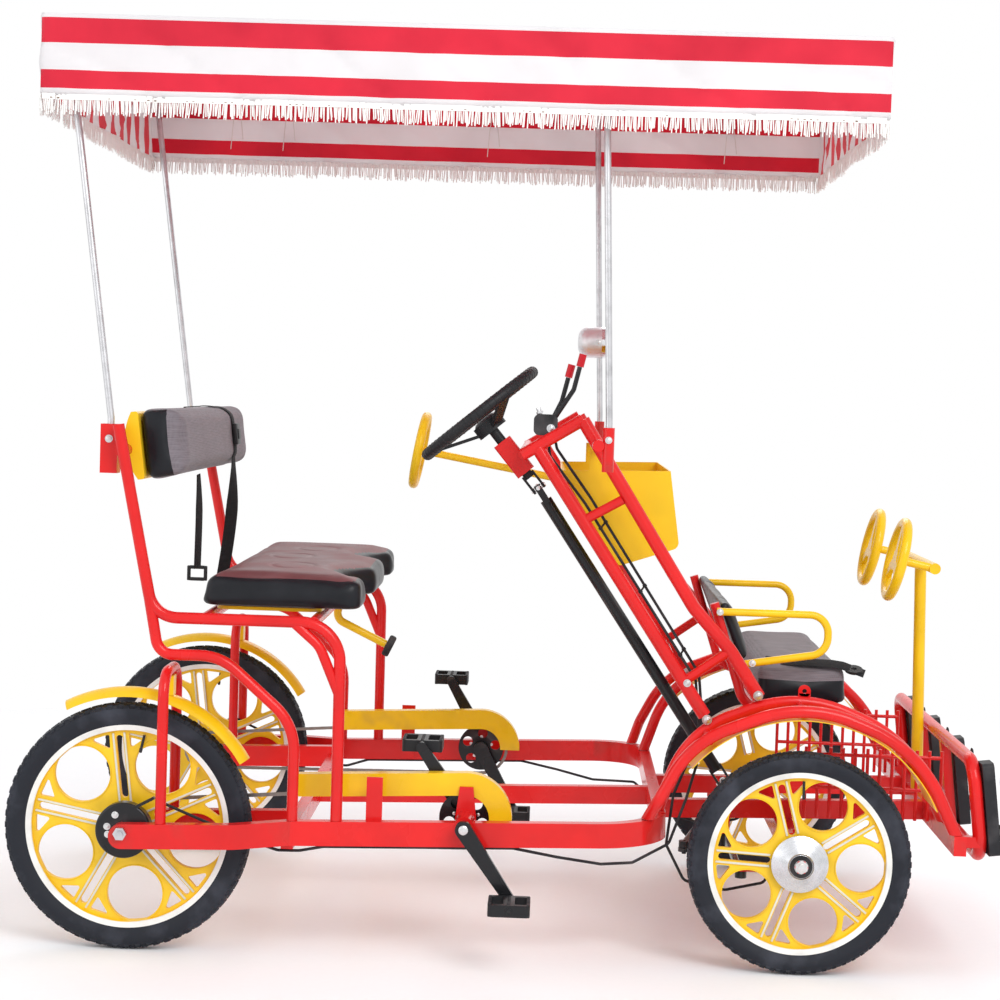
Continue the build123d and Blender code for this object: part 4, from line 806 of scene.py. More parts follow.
    def finish(self, name: str, smooth: float = 35.0) -> Object:
        """Make the object, ride it on its body and give it its finish.

        Args:
            name: The finish's name.
            smooth: The angle in degrees under which edges are shaded smooth.

        Returns:
            The object.
        """
        bmesh.ops.recalc_face_normals(self.mesh, faces=self.mesh.faces)
        limit = math.radians(smooth)
        for edge in self.mesh.edges:
            edge.smooth = len(edge.link_faces) < 2 or edge.calc_face_angle(0.0) < limit
        for face in self.mesh.faces:
            face.smooth = True
        made = add_mesh(self.name, self.mesh)
        made.data.materials.append(material(name))
        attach(made, self.body)
        return made


# ---- Wheels ----


class Side(Enum):
    """The side of the surrey, as riders see it, with the sign of its Y."""

    RIGHT = -1
    LEFT = 1

    @property
    def label(self) -> str:
        """The side's name in the frame."""
        return self.name.lower()

    @property
    def out(self) -> Vector:
        """The direction out of the surrey on this side."""
        return Vector((0, self.value, 0))


@dataclass(frozen=True)
class WheelSize:
    """The measures in which front and rear wheels differ; first_hole is in degrees."""

    axle_x: float
    tyre_radius: float
    rim_radius: float
    web_reach: tuple[float, float]
    first_hole: float
    hole_radius: float
    hole_reach: float


class Axle(Enum):
    """The two axles, with the sizes of their wheels."""

    REAR = WheelSize(REAR_AXLE_X, REAR_RADIUS, 0.209, (0.046, 0.192), 61, 0.057, 0.141)
    FRONT = WheelSize(ahead(WHEELBASE), FRONT_RADIUS, 0.187, (0.06, 0.17), 69, 0.05, 0.125)


@dataclass
class RoadWheel:
    """One wheel: its tyre with tread, the ribs of its web, its valve and the fittings at its hub.

    The carcass is half the tyre's outline, as shares of its depth below the crown and half width.
    """

    axle: Axle
    side: Side
    tyre_width: float = 0.05
    ply: float = 0.0022
    tread_steps: int = 132
    spokes: int = 5
    rib_offset: float = 0.0115
    rib_face: float = 0.0075
    bead_face: float = 0.006
    hub_face: float = 0.0425
    carcass: tuple[tuple[float, float], ...] = (
        (0.8, 0.8), (0.55, 0.99), (0.36, 1.0), (0.2, 0.93), (0.07, 0.7), (0.015, 0.38), (0.0, 0.12)
    )

    @property
    def size(self) -> WheelSize:
        """The wheel's measures."""
        return self.axle.value

    @property
    def tag(self) -> str:
        """The wheel's name in its pieces."""
        return f"{self.axle.name.lower()}_{self.side.label}"

    @property
    def body(self) -> str:
        """The body that the wheel turns with."""
        return self.tag.replace("_", "_wheel_")

    @property
    def centre(self) -> Vector:
        """The wheel's middle."""
        return Vector((self.size.axle_x, self.side.value * HALF_TRACK, self.size.tyre_radius))

    def point(self, radius: float, angle: float, out: float) -> Vector:
        """A point given from the wheel's centre.

        Args:
            radius: Distance from the axle.
            angle: Degrees from ahead towards up.
            out: Distance outwards from the wheel's middle plane.

        Returns:
            The point.
        """
        return self.centre + polar(radius, math.radians(angle)) + self.side.out * out

    def hole_angle(self, number: int) -> float:
        """The angle of one of the big holes, in degrees."""
        return self.size.first_hole + 360 / self.spokes * number

    def paint(self) -> Material:
        """The wheel's own paint, web and rim."""
        rim_tone = (0.88, 0.87, 0.82)
        centre, rim_radius = tuple(self.centre), self.size.rim_radius
        return Wheel(f"{self.body}_paint", centre, rim_radius, YELLOW, rim_tone).make()

    def build_tyre(self) -> None:
        """Build the tyre: a spun carcass whose crown and shoulder faces rise into tread blocks."""
        shape = Shape(f"tyre_{self.tag}", self.body)
        half = self.tyre_width / 2
        crown = self.size.tyre_radius - self.ply
        rim = self.size.rim_radius
        depth = self.size.tyre_radius - rim
        outer = [(crown - depth * down, half * out) for down, out in self.carcass]
        right = [(rim - 0.002, half * 0.66), (rim + 0.001, half * 0.7), *outer]
        profile = [*right, *[(radius, -along) for radius, along in reversed(right)]]
        shape.lathe(profile, Vector(), Z_AXIS, self.tread_steps, closed=True)
        blocks, notches = [], []
        for face in shape.mesh.faces:
            middle = face.calc_center_median()
            radius = math.hypot(middle.x, middle.y)
            turn = math.degrees(math.atan2(middle.y, middle.x)) / 360
            step = round(turn * self.tread_steps - 0.5)
            shoulder = half * 0.7 < abs(middle.z) < half * 0.97 and radius > crown - depth * 0.22
            tread = radius > crown - depth * 0.06
            if shoulder and step % 2:
                notches.append(face)
            elif shoulder or tread and (step + (middle.z > 0)) % 2:
                blocks.append(face)
        for faces, inset, rise in ((blocks, 0.0009, 1.0), (notches, 0.0012, -0.3)):
            size = {"thickness": inset, "depth": self.ply * rise}
            bmesh.ops.inset_individual(shape.mesh, faces=faces, use_even_offset=True, **size)
        shape.move(shape.mesh.verts[:], Matrix.Translation(self.centre) @ upright(Y_AXIS))
        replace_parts(shape.finish("tyre", 24.0), self.tag.replace("_", "_tyre_"))

    def build_ribs(self) -> None:
        """Build the doubled ribs on both faces of each spoke."""
        shape = Shape(f"web_ribs_{self.tag}", self.body)
        for spoke in range(self.spokes):
            middle = self.hole_angle(spoke) + 180 / self.spokes
            across = polar(1, math.radians(middle)).cross(Y_AXIS)
            offsets = (-self.rib_offset, self.rib_offset)
            for offset, face in product(offsets, (self.rib_face, -self.rib_face)):
                places = [self.point(reach, middle, face) for reach in self.size.web_reach]
                start, end = [place + across * offset for place in places]
                run = end - start
                along = run.normalized()
                turn = axes(along, Y_AXIS, along.cross(Y_AXIS))
                shape.box((start + end) / 2, (run.length, 0.004, 0.0042), turn, 0.0008)
        shape.finish("rib_cream")

    def build_beads(self) -> None:
        """Build the raised bead round each big hole, on both faces."""
        shape = Shape(f"web_beads_{self.tag}", self.body)
        hole = self.size.hole_radius
        section = ((0.0004, -0.001), (0.0006, 0.0012), (0.003, 0.0012), (0.0042, -0.001))
        profile = [(hole + over, along) for over, along in section]
        for number, sign in product(range(self.spokes), (1, -1)):
            face = sign * self.bead_face
            centre = self.point(self.size.hole_reach, self.hole_angle(number), face)
            shape.lathe(profile, centre, (0, sign * self.side.value, 0), 30, closed=True)
        shape.finish("yellow_paint")

    def build_valve(self) -> None:
        """Build the valve: a rubber stem with a cap, leaning out of the rim."""
        shape = Shape(f"valve_{self.tag}", self.body)
        angle = self.size.first_hole + 20
        stem = [
            self.point(self.size.rim_radius - inside, angle, out)
            for inside, out in ((0.019, 0.0085), (0.032, 0.0125), (0.045, 0.0185))
        ]
        shape.tube(stem, 0.0028)
        cap_end = stem[2] + (stem[2] - stem[1]).normalized() * 0.009
        shape.rod(stem[2], cap_end, 0.0036, 10, 0.0032, round_off=0.0006)
        shape.finish("black_rubber")

    def build_front_hub(self) -> None:
        """Build the turned rings on the front hub's bright cone."""
        rings = Shape(f"hub_rings_{self.side.label}", self.body)
        for radius, inside in ((0.0255, 0.0005), (0.0545, 0.0215)):
            profile = [(radius - 0.001, -0.001), (radius, 0.0005), (radius + 0.001, -0.001)]
            centre = self.point(0, 0, self.hub_face - inside)
            rings.lathe(profile, centre, self.side.out, 48, closed=True)
        rings.finish("brushed")

    def build(self) -> None:
        """Build everything that turns with this wheel."""
        self.build_tyre()
        self.build_ribs()
        self.build_beads()
        self.build_valve()
        if self.axle is Axle.FRONT:
            self.build_front_hub()


# ---- Canopy ----


@dataclass
class Canopy:
    """The striped cloth roof with its valance, fringe and ties."""

    rear: float = -0.964
    front: float = 0.726
    half_width: float = 0.6
    top: float = 1.885
    hem: float = 1.724
    fringe_bottom: float = 1.684
    corner: float = 0.024
    clearance: float = 0.0015
    bars: tuple[float, ...] = (-0.9589, -0.929, 0.161, 0.7209)
    ties: tuple[float, ...] = (-0.742, -0.611, -0.098, 0.493)
    tuft_gap: float = 0.0128
    strands: int = 4
    stripe_fit: float = 0.964

    @property
    def middle(self) -> float:
        """The X of the roof's middle."""
        return (self.rear + self.front) / 2

    @property
    def length(self) -> float:
        """The roof's length."""
        return self.front - self.rear

    @property
    def drop(self) -> float:
        """The valance's height."""
        return self.top - self.hem

    def pull_in(self, x: float, y: float) -> tuple[float, float]:
        """Move a point of the square roof onto its rounded corner.

        Args:
            x: The point's X.
            y: The point's Y.

        Returns:
            The moved X and Y.
        """
        straight_x = self.length / 2 - self.corner
        straight_y = self.half_width - self.corner
        over_x = abs(x - self.middle) - straight_x
        over_y = abs(y) - straight_y
        if over_x <= 0 or over_y <= 0:
            return x, y
        shrink = max(over_x, over_y) / math.hypot(over_x, over_y)
        new_x = self.middle + math.copysign(straight_x + over_x * shrink, x - self.middle)
        return new_x, math.copysign(straight_y + over_y * shrink, y)

    def sag(self, x: float, y: float) -> float:
        """How far the cloth hangs below its frame between the bars.

        Args:
            x: The place along the roof.
            y: The place across it.

        Returns:
            The sag, in metres.
        """
        spans = zip(self.bars, self.bars[1:])
        start, end = next(((a, b) for a, b in spans if a <= x <= b), (x - 1, x))
        along = math.sin(math.pi * (x - start) / (end - start))
        across = math.cos(math.pi / 2 * min(1.0, abs(y) / (self.half_width - 0.01)))
        deep = 0.026 * min(1.0, (end - start) / 1.1)
        slack = noise.noise(Vector((x * 4.4 + y * 3.4, x * 3.0 - y * 3.6, 3.0)))
        pulled = noise.noise(Vector(((x + y) * 9.0, (x - y) * 2.2, 8.0)))
        return along * across**0.6 * (deep + 0.006 * slack + 0.0035 * pulled)

    def ripple(self, along: float, depth: float) -> float:
        """How far the valance swings out.

        Args:
            along: The place along it.
            depth: The depth down from the roof.

        Returns:
            The swing outwards, in metres.
        """
        slow = math.sin(along * 13.0 + 2.4 * noise.noise(Vector((along * 2.0, 0, 1))))
        quick = noise.noise(Vector((along * 16.0 + depth * 16.0, depth * 9.0, 2)))
        folded = noise.noise(Vector((along * 5.0 - depth * 8.0, along * 1.5, 5)))
        crease = math.exp(-((folded / 0.07) ** 2))
        low = max(0.0, depth - 0.006) / self.drop
        upper = min(1.0, max(0.0, depth - 0.012) / 0.03)
        return low * (0.0034 * slow + 0.006 * quick - 0.0045) - 0.0052 * crease * upper

    def mark_stripes(self, mesh: BMesh) -> None:
        """Store how far across each place is, over the roof and down the sides, for the stripes.

        Args:
            mesh: The cloth while its corners are still square.
        """
        layer = mesh.loops.layers.float.new("across")
        for face in mesh.faces:
            side = abs(face.normal.y) > 0.7
            for loop in face.loops:
                place = loop.vert.co
                over = (abs(place.y) - self.half_width) * self.stripe_fit
                loop[layer] = self.half_width + (self.top - place.z if side else over)

    def build_cloth(self) -> None:
        """Build the cloth: a grid for the roof whose edge is extruded down step by step."""
        shape = Shape("canopy_cloth")
        mesh, width = shape.mesh, 2 * self.half_width
        bmesh.ops.create_grid(mesh, x_segments=118, y_segments=84, size=0.5)
        bmesh.ops.scale(mesh, vec=(self.length, width, 1), verts=mesh.verts)
        roof = self.top - self.clearance
        bmesh.ops.translate(mesh, vec=(self.middle, 0, roof), verts=mesh.verts)
        rim = [edge for edge in mesh.edges if edge.is_boundary]
        depths = [0.0, 0.003, 0.008, *[0.016 + 0.0131 * step for step in range(12)]]
        for low, high in zip(depths, depths[1:]):
            grown = bmesh.ops.extrude_edge_only(mesh, edges=rim)["geom"]
            skirt = [item for item in grown if isinstance(item, BMVert)]
            rim = [item for item in grown if isinstance(item, BMEdge)]
            bmesh.ops.translate(mesh, vec=(0, 0, low - high), verts=skirt)
        bmesh.ops.recalc_face_normals(mesh, faces=mesh.faces)
        self.mark_stripes(mesh)
        for vert in mesh.verts:
            x, y = self.pull_in(vert.co.x, vert.co.y)
            depth = roof - vert.co.z
            hanging = depth > 0.001
            out = Vector((0, 0, 0))
            for axis, value, reach in ((0, x - self.middle, self.length), (1, y, width)):
                if abs(value) > reach / 2 - 0.004:
                    out[axis] = math.copysign(1, value)
            swing = self.ripple(x - y, depth) if hanging else -0.0025
            fall = 0.0 if hanging else self.sag(x, y)
            vert.co = Vector((x, y, vert.co.z - fall)) + out.normalized() * (swing - self.clearance)
        cloth = shape.finish("canopy_cloth", 80.0)
        thick = cloth.modifiers.new("Cloth", "SOLIDIFY")
        thick.thickness = 0.0012
        thick.offset = 0
        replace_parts(cloth, "canopy")

    def hem_points(self, inset: float, margin: float = 0.007) -> list[tuple[Vector, Vector]]:
        """Places along the hem, a tuft's gap apart.

        Args:
            inset: How far inside the roof's outline they lie.
            margin: How far from the corners each side's places start.

        Returns:
            For each, the point at the hem and the direction outwards.
        """
        half = Vector((self.length / 2 - inset, self.half_width - inset))
        places = []
        for along in (Vector((1, 0)), Vector((0, -1)), Vector((-1, 0)), Vector((0, 1))):
            out = Vector((-along.y, along.x))
            start = Vector((self.middle, 0)) + (out - along) * half
            run = 2 * (half.x if along.x else half.y) - 2 * margin
            for step in range(int(run / self.tuft_gap) + 1):
                flat = Vector(self.pull_in(*(start + along * (margin + step * self.tuft_gap))))
                place = flat + out * self.ripple(flat.x - flat.y, self.drop)
                places.append((place.to_3d() + Z_AXIS * self.hem, out.to_3d()))
        return places

    def build_fringe(self) -> None:
        """Build the fringe: a woven head band, close-set cords of slightly uneven length, and small
        brown marks near the head that are painted shade in the gaps between cords.
        """
        dice = random.Random(11)
        cords = Shape("canopy_fringe_cords")
        painted_gap_shades = Shape("canopy_fringe_knots")
        for place, out in self.hem_points(0.0022):
            lean = dice.uniform(-0.003, 0.003)
            along = Vector((abs(out.y), abs(out.x), 0))
            knot = place - Z_AXIS * 0.006
            for strand in range(self.strands):
                from_middle = strand - (self.strands - 1) / 2
                spread = from_middle * 0.0032 + lean + dice.uniform(-0.0022, 0.0022)
                foot = place.xy.to_3d() + Z_AXIS * (self.fringe_bottom + dice.uniform(0.0, 0.012))
                foot += along * spread + out * dice.uniform(-0.003, 0.002)
                head = knot + along * from_middle * 0.0022 + Z_AXIS * 0.008
                cords.rod(head, foot, 0.0012, 5, 0.0014)
            # On some tufts a small brown rod just below the head: painted shade where the gaps
            # between the cords look dark.
            if dice.random() < 0.4:
                front, half = knot + out * 0.0012, along * 0.0022
                painted_gap_shades.rod(front - half, front + half, 0.0011, 6)
        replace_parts(cords.finish("white_fringe", 80.0), "canopy_fringe")
        painted_gap_shades.finish("thread", 80.0)
        band = Shape("canopy_fringe_head")
        for place, out in self.hem_points(0.001):
            size = (0.0129, 0.0016, 0.011) if out.y else (0.0016, 0.0129, 0.011)
            band.box(place - Z_AXIS * 0.0035, size)
        band.finish("white_fringe", 80.0)

    def build_ties(self) -> None:
        """Build the small white ties that hold the cloth to the roof tubes, tails hanging."""
        shape = Shape("canopy_ties")
        for x, sign in product(self.ties, (-1, 1)):
            tube = Vector((x, sign * 0.5906, 1.8756))
            shape.ring((0.0062, 0.0078), 0.002, tube, X_AXIS, 20)
            knot = tube - Y_AXIS * sign * 0.0075
            shape.box(knot, (0.005, 0.005, 0.006), round_off=0.001)
            for lean in (-0.2, 0.3):
                tail = knot + Vector((lean * 0.06, -sign * 0.004, -0.115 + 0.05 * lean))
                bend = (knot + tail) / 2 + X_AXIS * lean * 0.01
                shape.tube([knot, bend, tail], 0.0011, 6)
        shape.finish("ties")

    def build(self) -> None:
        """Build the cloth, its fringe and its ties."""
        self.build_cloth()
        self.build_fringe()
        self.build_ties()


# ---- Cushions and belts ----


def arc(x: float, y: float, radius: float, angles: list[float]) -> Profile:
    """Points of a circle about a place, at angles in radians."""
    return [(x + radius * math.cos(angle), y + radius * math.sin(angle)) for angle in angles]


def quarter_turn(quarter: int, steps: int) -> list[float]:
    """The angles of one quarter of a circle, in radians."""
    return [math.radians(90 * quarter + 90 * step / steps) for step in range(steps + 1)]


def rounded(width: float, height: float, radius: float) -> Profile:
    """The outline of a rectangle with round corners.

    Args:
        width: Its full width.
        height: Its full height.
        radius: The corner's radius.

    Returns:
        Points in order, centred on zero.
    """
    points = []
    for quarter, (sx, sy) in enumerate(((1, 1), (-1, 1), (-1, -1), (1, -1))):
        x, y = sx * (width / 2 - radius), sy * (height / 2 - radius)
        points += arc(x, y, radius, quarter_turn(quarter, 5))
    return points


def apply_modifiers(made: Object) -> None:
    """Apply all of an object's modifiers.

    Args:
        made: The object.
    """
    graph = bpy.context.evaluated_depsgraph_get()
    data = bpy.data.meshes.new_from_object(made.evaluated_get(graph))
    made.modifiers.clear()
    made.data = data


@dataclass
class Cushion:
    """A padded piece: an outline drawn flat, given thickness, remeshed and blown up as cloth.

    Its own axes are the outline's two and the thickness; place takes them to the frame. caps holds
    how far from the middle the side panels start along long_axis, and the height up to which they
    reach; without caps the edge reaches up to cover_from all round.
    """

    name: str
    node: str
    outline: Profile
    thickness: float
    place: Matrix
    cover: str
    travel: float
    roll: float
    base_roll: float
    caps: tuple[float, float] | None = None
    cover_from: float = 0.0
    long_axis: int = 0
    evening: int = 14
    channels: tuple[float, ...] = ()
    ovals: tuple[tuple[float, float], ...] = ()
    edge: str = "black_vinyl"
    fill: float = 0.6
    shrink: float = 0.005
    voxel: float = 0.006
    channel_depth: float = 0.006
    oval_size: tuple[float, float] = (0.045, 0.075)
    oval_depth: float = 0.0028
    frames: int = 20

    def blank(self) -> Object:
        """Make the cushion's plain starting block, a little smaller than its finished size."""
        mesh = bmesh.new()
        face = mesh.faces.new([mesh.verts.new((x, y, self.shrink / 2)) for x, y in self.outline])
        grown = bmesh.ops.extrude_face_region(mesh, geom=[face])["geom"]
        top = [item for item in grown if isinstance(item, BMVert)]
        bmesh.ops.translate(mesh, vec=(0, 0, self.thickness - self.shrink), verts=top)
        bmesh.ops.recalc_face_normals(mesh, faces=mesh.faces)
        for vert, normal in [(vert, vert.normal.copy()) for vert in mesh.verts]:
            vert.co -= normal.xy.to_3d() * self.shrink
        level = self.thickness / 2
        for low, width in ((False, self.roll), (True, self.base_roll)):
            flat = [edge for edge in mesh.edges if is_level(edge)]
            rim = [edge for edge in flat if (edge.verts[0].co.z < level) == low]
            options = {"affect": "EDGES", "segments": 5, "profile": 0.5, "material": -1}
            bmesh.ops.bevel(mesh, geom=rim, offset=width, clamp_overlap=True, **options)
        return add_mesh(self.name, mesh)

    def blow_up(self, made: Object) -> None:
        """Inflate the cover between its seams with a short cloth simulation.

        Args:
            made: The remeshed block, whose low vertices are held.
        """
        group = made.vertex_groups.new(name="seams")
        for vert in made.data.vertices:
            if vert.co.z < self.voxel + self.base_roll:
                group.add([vert.index], 1.0, "REPLACE")
        cloth = made.modifiers.new("Cloth", "CLOTH")
        settings = cloth.settings
        settings.vertex_group_mass = "seams"
        settings.use_pressure = True
        settings.uniform_pressure_force = 4.0
        settings.tension_stiffness = settings.compression_stiffness = 12.0
        settings.bending_stiffness = 0.4
        settings.effector_weights.gravity = 0.0
        cloth.point_cache.frame_start = 1
        cloth.point_cache.frame_end = self.frames
        start = [vert.co.copy() for vert in made.data.vertices]
        for frame_number in range(1, self.frames + 1):
            bpy.context.scene.frame_set(frame_number)
        apply_modifiers(made)
        bpy.context.scene.frame_set(1)
        for vert, before in zip(made.data.vertices, start):
            run = vert.co - before
            if run.length > self.travel:
                vert.co = before + run * (self.travel / run.length)

    def dip(self, spot: Vector) -> float:
        """How deep the stitched channels and embossed ovals are.

        Args:
            spot: The place on the cover.

        Returns:
            The depth, in metres.
        """
        lines = [math.exp(-(((spot.x - line) / 0.008) ** 2)) for line in self.channels]
        deep = sum(lines) * self.channel_depth
        for x, y in self.ovals:
            away = math.hypot((spot.x - x) / self.oval_size[0], (spot.y - y) / self.oval_size[1])
            deep += self.oval_depth * math.exp(-(((away - 1.0) / 0.09) ** 2))
        return deep

    def press(self, made: Object) -> None:
        """Press the channels, the ovals and a soft unevenness into the upper part of the cover.

        Args:
            made: The cushion, still flat.
        """
        for vert in made.data.vertices:
            above = vert.co.z / self.thickness - 0.35
            if above >= 0:
                soft = 0.0016 * noise.noise(vert.co * 9.0)
                vert.co.z += soft - self.dip(vert.co) * min(1.0, above * 2.5)

    def panel(self, spot: Vector) -> int:
        """Which panel a place of the flat cover belongs to.

        Args:
            spot: The place.

        Returns:
            0 for the edge, 1 for the face.
        """
        if self.caps:
            return int(abs(spot[self.long_axis]) < self.caps[0] or spot.z > self.caps[1])
        return int(spot.z > self.cover_from)

    def build(self) -> Object:
        """Build the cushion.

        Returns:
            The cushion.
        """
        made = self.blank()
        remesh = made.modifiers.new("Remesh", "REMESH")
        remesh.mode = "VOXEL"
        remesh.voxel_size = self.voxel * 1
        apply_modifiers(made)
        panels = [self.panel(face.center) for face in made.data.polygons]
        self.blow_up(made)
        even = made.modifiers.new("Smooth", "SMOOTH")
        even.factor = 0.5
        even.iterations = self.evening
        apply_modifiers(made)
        self.press(made)
        made.data.materials.clear()
        made.data.materials.append(material(self.edge))
        made.data.materials.append(material(self.cover))
        for face, panel in zip(made.data.polygons, panels):
            face.use_smooth = True
            face.material_index = panel
        made.data.transform(self.place)
        smooth = made.modifiers.new("Subdivision", "SUBSURF")
        smooth.levels = smooth.render_levels = 1
        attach(made, "frame")
        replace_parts(made, self.node)
        return made


def leaning(origin: Vector, forward: Vector) -> Matrix:
    """Axes of a seat back's face: first across the seat, second up the back, third forward.

    Args:
        origin: The foot of the back, in its middle plane.
        forward: The direction that the face looks.

    Returns:
        The placing matrix.
    """
    return Matrix.Translation(origin) @ axes(Y_AXIS, forward.cross(Y_AXIS), forward)


@dataclass
class Upholstery:
    """The seats' padded pieces; thigh is the middle and the radius of the bench's cut-outs."""

    bench_front: float = -0.297
    bench_rear: float = -0.636
    bench_half_width: float = 0.483
    bench_base: float = 0.706
    bench_corner: float = 0.03
    thigh: tuple[float, float, float] = (-0.213, 0.245, 0.15)
    back_origin: Vector = Vector((-0.77, 0, 0.955))
    back_forward: Vector = Vector((0.9914, 0, 0.1305))
    child_base: Vector = Vector((0.621, 0, 0.5284))
    child_back_rise: Vector = Vector((-0.054, 0, 0.132))

    def bench_outline(self) -> Profile:
        """The bench seen from above: a round-cornered slab with two thigh cut-outs in front.

        Returns:
            Points in order.
        """
        middle_x, middle_y, radius = self.thigh
        reach = math.sqrt(radius**2 - (self.bench_front - middle_x) ** 2)
        start = math.atan2(reach, self.bench_front - middle_x)
        angles = [start + (math.tau - 2 * start) * step / 12 for step in range(13)]
        cuts = [point for y in (middle_y, -middle_y) for point in arc(middle_x, y, radius, angles)]
        front, rear = self.bench_front - self.bench_corner, self.bench_rear + self.bench_corner
        side = self.bench_half_width - self.bench_corner
        slab = []
        corners = ((front, side), (rear, side), (rear, -side), (front, -side))
        for quarter, corner in enumerate(corners):
            slab += arc(*Vector(corner), self.bench_corner, quarter_turn(quarter, 4))
        return [*slab, *reversed(cuts)]

    def build_bench(self) -> None:
        """Build the bench: a dark red top with embossed ovals over grained black sides."""
        Cushion(
            "bench_seat",
            "bench_cushion",
            self.bench_outline(),
            thickness=0.068,
            place=Matrix.Translation((0, 0, self.bench_base)),
            cover="bench_vinyl",
            travel=0.009,
            roll=0.02,
            base_roll=0.012,
            cover_from=0.064,
            ovals=((-0.47, 0.25), (-0.5, 0.0), (-0.47, -0.25)),
        ).build()

    def build_back(self) -> Object:
        """Build the backrest's grey pad with its black end caps.

        Returns:
            The pad.
        """
        foot = self.back_origin + self.back_forward * 0.0168
        return Cushion(
            "bench_back",
            "backrest_pad",
            rounded(0.92, 0.152, 0.024),
            thickness=0.0835,
            place=leaning(foot, self.back_forward.normalized()) @ Matrix.Translation((0, 0.076, 0)),
            cover="grey_vinyl",
            travel=0.007,
            roll=0.026,
            base_roll=0.01,
            caps=(0.44, 0.056),
        ).build()

    def build_child_seat(self) -> None:
        """Build the small bench's cushion and its ribbed back."""
        Cushion(
            "child_seat",
            "child_cushion",
            rounded(0.2, 0.66, 0.03),
            thickness=0.084,
            place=Matrix.Translation(self.child_base),
            cover="grey_vinyl",
            travel=0.006,
            roll=0.018,
            base_roll=0.01,
            caps=(0.31, 0.052),
            long_axis=1,
        ).build()
        forward = Y_AXIS.cross(self.child_back_rise).normalized()
        low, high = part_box("child_backrest")
        middle = Vector(((low[0] + high[0]) / 2, 0, (low[2] + high[2]) / 2))
        Cushion(
            "child_back",
            "child_backrest",
            rounded(0.698, 0.136, 0.012),
            thickness=0.026,
            place=leaning(middle - forward * 0.013, forward),
            cover="dark_vinyl",
            travel=0.005,
            roll=0.008,
            base_roll=0.004,
            caps=(0.2, 1.0),
            evening=4,
            channels=(-0.2, 0.2),
        ).build()


